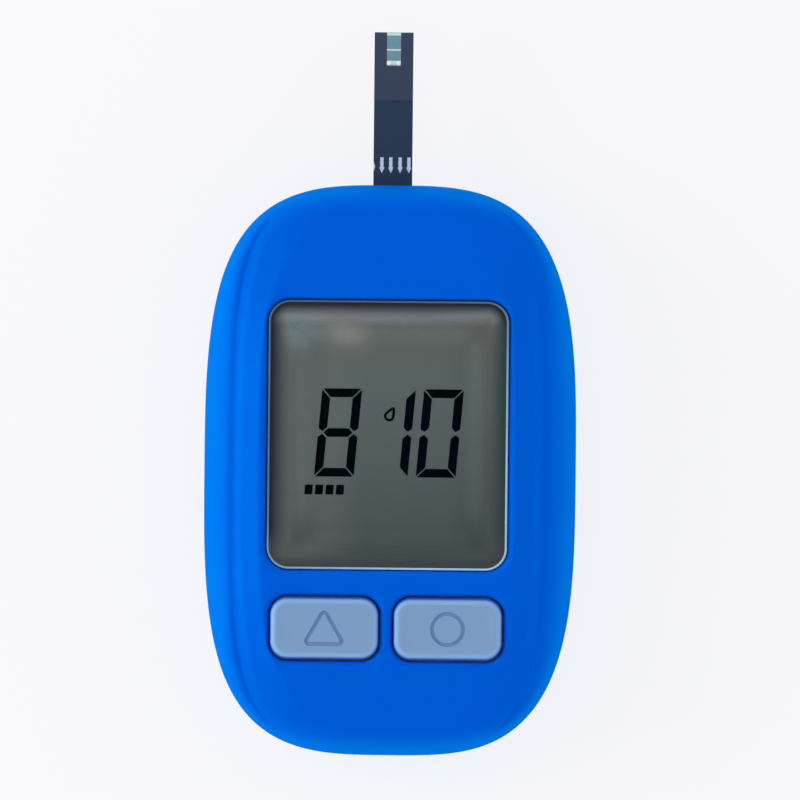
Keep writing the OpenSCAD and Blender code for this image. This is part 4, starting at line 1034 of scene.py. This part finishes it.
def segment_shapes():
    """Outlines of the seven segments in a digit's own box, before it is slanted."""
    w, h, s, g = DIGIT_W, DIGIT_H, STROKE, GAP
    mid = h / 2
    top = [(g, h), (w - g, h), (w - s - g * 0.2, h - s), (s + g * 0.2, h - s)]
    bottom = [(s + g * 0.2, s), (w - s - g * 0.2, s), (w - g, 0), (g, 0)]
    centre = [(s * 0.62, mid), (s * 1.12, mid + s / 2), (w - s * 1.12, mid + s / 2), (w - s * 0.62, mid),
              (w - s * 1.12, mid - s / 2), (s * 1.12, mid - s / 2)]
    f = [(0, h - g), (s, h - s - g * 1.2), (s, mid + s / 2 + g * 1.2), (s / 2, mid + g * 1.3), (0, mid + s / 2)]
    e = [(0, mid - s / 2), (s / 2, mid - g * 1.3), (s, mid - s / 2 - g * 1.2), (s, s + g * 1.2), (0, g)]
    b = [(w - x, y) for x, y in f][::-1]
    c = [(w - x, y) for x, y in e][::-1]
    return {"a": top, "b": b, "c": c, "d": bottom, "e": e, "f": f, "g": centre}


def soften(points, r=0.12):
    """Rounds the corners of a convex outline."""
    p = [np.array(q, float) for q in points]
    out = []
    for i in range(len(p)):
        a, b, c = p[i - 1], p[i], p[(i + 1) % len(p)]
        ra = min(r, np.linalg.norm(a - b) * 0.4)
        rc = min(r, np.linalg.norm(c - b) * 0.4)
        s, e = b + unit(a - b) * ra, b + unit(c - b) * rc
        for t in (0, 0.33, 0.67, 1):
            out.append((1 - t) ** 2 * s + 2 * t * (1 - t) * b + t * t * e)
    return np.array(out)


def drop_path(x, y, r, lean):
    """Outline of a drop about a point: a circle drawn out upwards, then leant over."""
    path = []
    for i in range(40):
        a = math.radians(360) * i / 40
        px, py = r * math.sin(a), -r * math.cos(a)
        if py > 0:
            px *= (1 - py / r * 0.55)
            py *= 2.1
        path.append((x + px * math.cos(lean) - py * math.sin(lean), y + px * math.sin(lean) + py * math.cos(lean)))
    return path


def figures():
    z0, z1 = POLARIZER_TOP - 0.01, POLARIZER_TOP + 0.02
    shapes = segment_shapes()
    solids = []
    for x0, parts in DIGITS:
        for part in parts:
            outline = soften(shapes[part])
            outline[:, 0] += x0 + outline[:, 1] * SLANT
            outline[:, 1] += DIGIT_Y
            solids.append(flat_prism(outline, z0, z1))
    # Drop outline before the second figure
    solids.append(band_prism(drop_path(0.12, 8.95, 0.68, math.radians(-28)), 0.42, z0, z1))
    # Row of small plain marks under the first figure
    low, high, w, lean, pitch = -4.05, -2.45, 1.3, 0.12, 1.72
    for i in range(4):
        x = -13.75 + i * pitch
        mark = soften([(x, low), (x + w, low), (x + w + lean, high), (x + lean, high)], 0.15)
        solids.append(flat_prism(mark, z0, z1))
    finish_piece(join(solids), "display_figures", segment_mat, "case", sharp=30)


# ---- Test strip
def arrow(x, y0, y1, z0, z1):
    """Arrow that points into the meter, from y1 down to y0."""
    shaft, head, tip = 0.27, 0.43, 0.95
    return flat_prism([(x - shaft, y1), (x - shaft, y0 + tip), (x - head, y0 + tip), (x, y0), (x + head, y0 + tip),
                       (x + shaft, y0 + tip), (x + shaft, y1)], z0, z1)


def strip():
    low = STRIP_Z + STRIP_BASE_T
    ink_z = (low - 0.01, low + 0.015)
    # The strip's edge cuts the first arrow
    cut = [(-3.19, 51.0), (-3.19, 49.2), (-2.95, 49.9), (-2.95, 50.3), (-3.1, 50.6)]
    arrows = [flat_prism(cut, *ink_z)] + [arrow(x, 49.0, 51.6, *ink_z) for x in (-1.82, -0.35, 1.19, 2.64)]
    finish_piece(join(arrows), "strip_arrows", strip_ink_mat, "strip")
    # Sample window: pale mouth at the tip, a thin line, and a bar with two spots at its far end
    top = low + 2 * STRIP_LAYER_T
    half = SAMPLE_W / 2
    far = STRIP_TIP - SAMPLE_L
    print_z = (top, top + 0.02)
    pale = [
        block(-half, half, STRIP_TIP - 0.5, STRIP_TIP - 0.02, *print_z),
        block(-half, half, STRIP_TIP - 2.99, STRIP_TIP - 2.74, *print_z),
        block(-STRIP_W / 2, STRIP_W / 2, STRIP_TIP - 0.02, STRIP_TIP + 0.05, STRIP_Z + 0.02, top - 0.02),
    ]
    finish_piece(join(pale), "strip_mouth", strip_pale_mat, "strip")
    bar = block(-half, half, far + 0.2, far + 0.85, *print_z)
    finish_piece(bar, "strip_bar", strip_bar_mat, "strip")
    disc = [(0.34, top), (0.34, top + 0.03), (0.3, top + 0.05)]
    spots = [turned(disc, side * (half - 0.36), far + 0.44, 24) for side in (-1, 1)]
    finish_piece(join(spots), "strip_spots", strip_spot_mat, "strip")


front_cover()
rear_cover()
window()
key(-1, "memory_key", "memory_button")
key(1, "set_key", "set_button")
dome(-1, "memory_dome")
dome(1, "set_dome")
figures()
strip()

# Carried-over nodes: materials, and edges softened by so many millimetres
soft_edges = {
    "battery_door": 0.15, "lcd_frame": 0.1, "case_screws": 0.08, "strip_connector": 0.08, "bridge_plate": 0.06,
    "processor_chip": 0.05, "memory_chip": 0.05, "analog_chip": 0.05, "positive_contact": 0.05,
    "negative_contact": 0.05,
}
for name, obj in NODES.items():
    if name in inner:
        for s in obj.material_slots:
            s.material = inner[name]
    if name in soft_edges:
        m = obj.modifiers.new("edge", "BEVEL")
        m.width, m.segments, m.limit_method, m.angle_limit = soft_edges[name] * MM, 2, "ANGLE", math.radians(40)

# ---- Floor, light and camera
PAPER_WHITE = 0.82


def seen_ray(nt):
    """1 for rays from the camera and for rays seen in gloss or through glass."""
    path = node(nt, "LightPath")
    rays = [path.outputs[k] for k in ("Is Camera Ray", "Is Transmission Ray", "Is Glossy Ray")]
    return math_node(nt, "MAXIMUM", math_node(nt, "MAXIMUM", rays[0], rays[1]), rays[2])


def stage():
    bpy.ops.mesh.primitive_plane_add(size=8, location=(0, 0, -0.00002))
    floor = bpy.context.object
    floor.name = "floor"
    m, nt, b = material("floor_paper")
    dress(nt, b, mix_colour(nt, noise(nt, 300, 3), (0.93, 0.935, 0.96), (0.96, 0.965, 0.98)), 0.9, 0.1)
    white = node(nt, "Emission", {"Color": (0.985, 0.98, 1.0, 1), "Strength": 1.0})
    paper = mix_shader(nt, remap(nt, seen_ray(nt), 0, 1, 0, PAPER_WHITE), b.outputs[0], white.outputs[0])
    show(nt, paper)
    floor.data.materials.append(m)


def lamp(name, spot, aim, size, power, colour):
    data = bpy.data.lights.new(name, "AREA")
    data.shape, data.energy, data.color = "RECTANGLE", power, colour
    data.size, data.size_y = size
    obj = bpy.data.objects.new(name, data)
    bpy.context.scene.collection.objects.link(obj)
    obj.location = spot
    obj.rotation_euler = (Vector(aim) - Vector(spot)).to_track_quat("-Z", "Y").to_euler()
    obj.visible_camera = False


def world():
    w = bpy.data.worlds.new("studio")
    bpy.context.scene.world = w
    w.use_nodes = True
    nt = w.node_tree
    bg = nt.nodes["Background"]
    seen = seen_ray(nt)
    nt.links.new(remap(nt, seen, 0, 1, 0.64, 1.0), bg.inputs["Strength"])
    nt.links.new(mix_colour(nt, seen, (0.93, 0.975, 1.0), (0.99, 0.99, 1.0)), bg.inputs["Color"])


stage()
world()
lamp("key_light", (-1.0, 0.12, 0.46), (0, 0, 0), (0.7, 0.6), 5.5, (1, 0.96, 0.81))
lamp("fill_light", (0.8, 0.0, 0.5), (0, 0, 0), (0.7, 0.7), 0.62, (1, 0.97, 0.95))
lamp("low_light", (-0.05, -0.93, 0.36), (0, 0, 0.02), (0.7, 0.3), 0.7, (1, 0.98, 0.95))
lamp("far_light", (0.0, 0.9, 0.35), (0, 0, 0.02), (0.6, 0.3), 0.35, (1, 0.98, 0.95))

SCALE, PIXELS = 0.165, 800
SENSOR = 36
ROLL = math.radians(0.57)
AIM = Vector((1.53, 11.6, SPLIT)) * MM
DISTANCE = 2.6
camera = bpy.data.cameras.new("camera")
camera.sensor_width = SENSOR
camera.lens = SENSOR * DISTANCE / (SCALE * PIXELS * MM)
eye = bpy.data.objects.new("camera", camera)
bpy.context.scene.collection.objects.link(eye)
bpy.context.scene.camera = eye
back = Vector((0.035, 0, 1)).normalized()
up = Vector((-math.sin(ROLL), math.cos(ROLL), 0))
across = up.cross(back).normalized()
turn = Matrix((across, back.cross(across), back)).transposed()
eye.matrix_world = Matrix.Translation(AIM + back * DISTANCE) @ turn.to_4x4()
camera.clip_start, camera.clip_end = 0.05, 20

bpy.context.scene.view_settings.view_transform = "Standard"
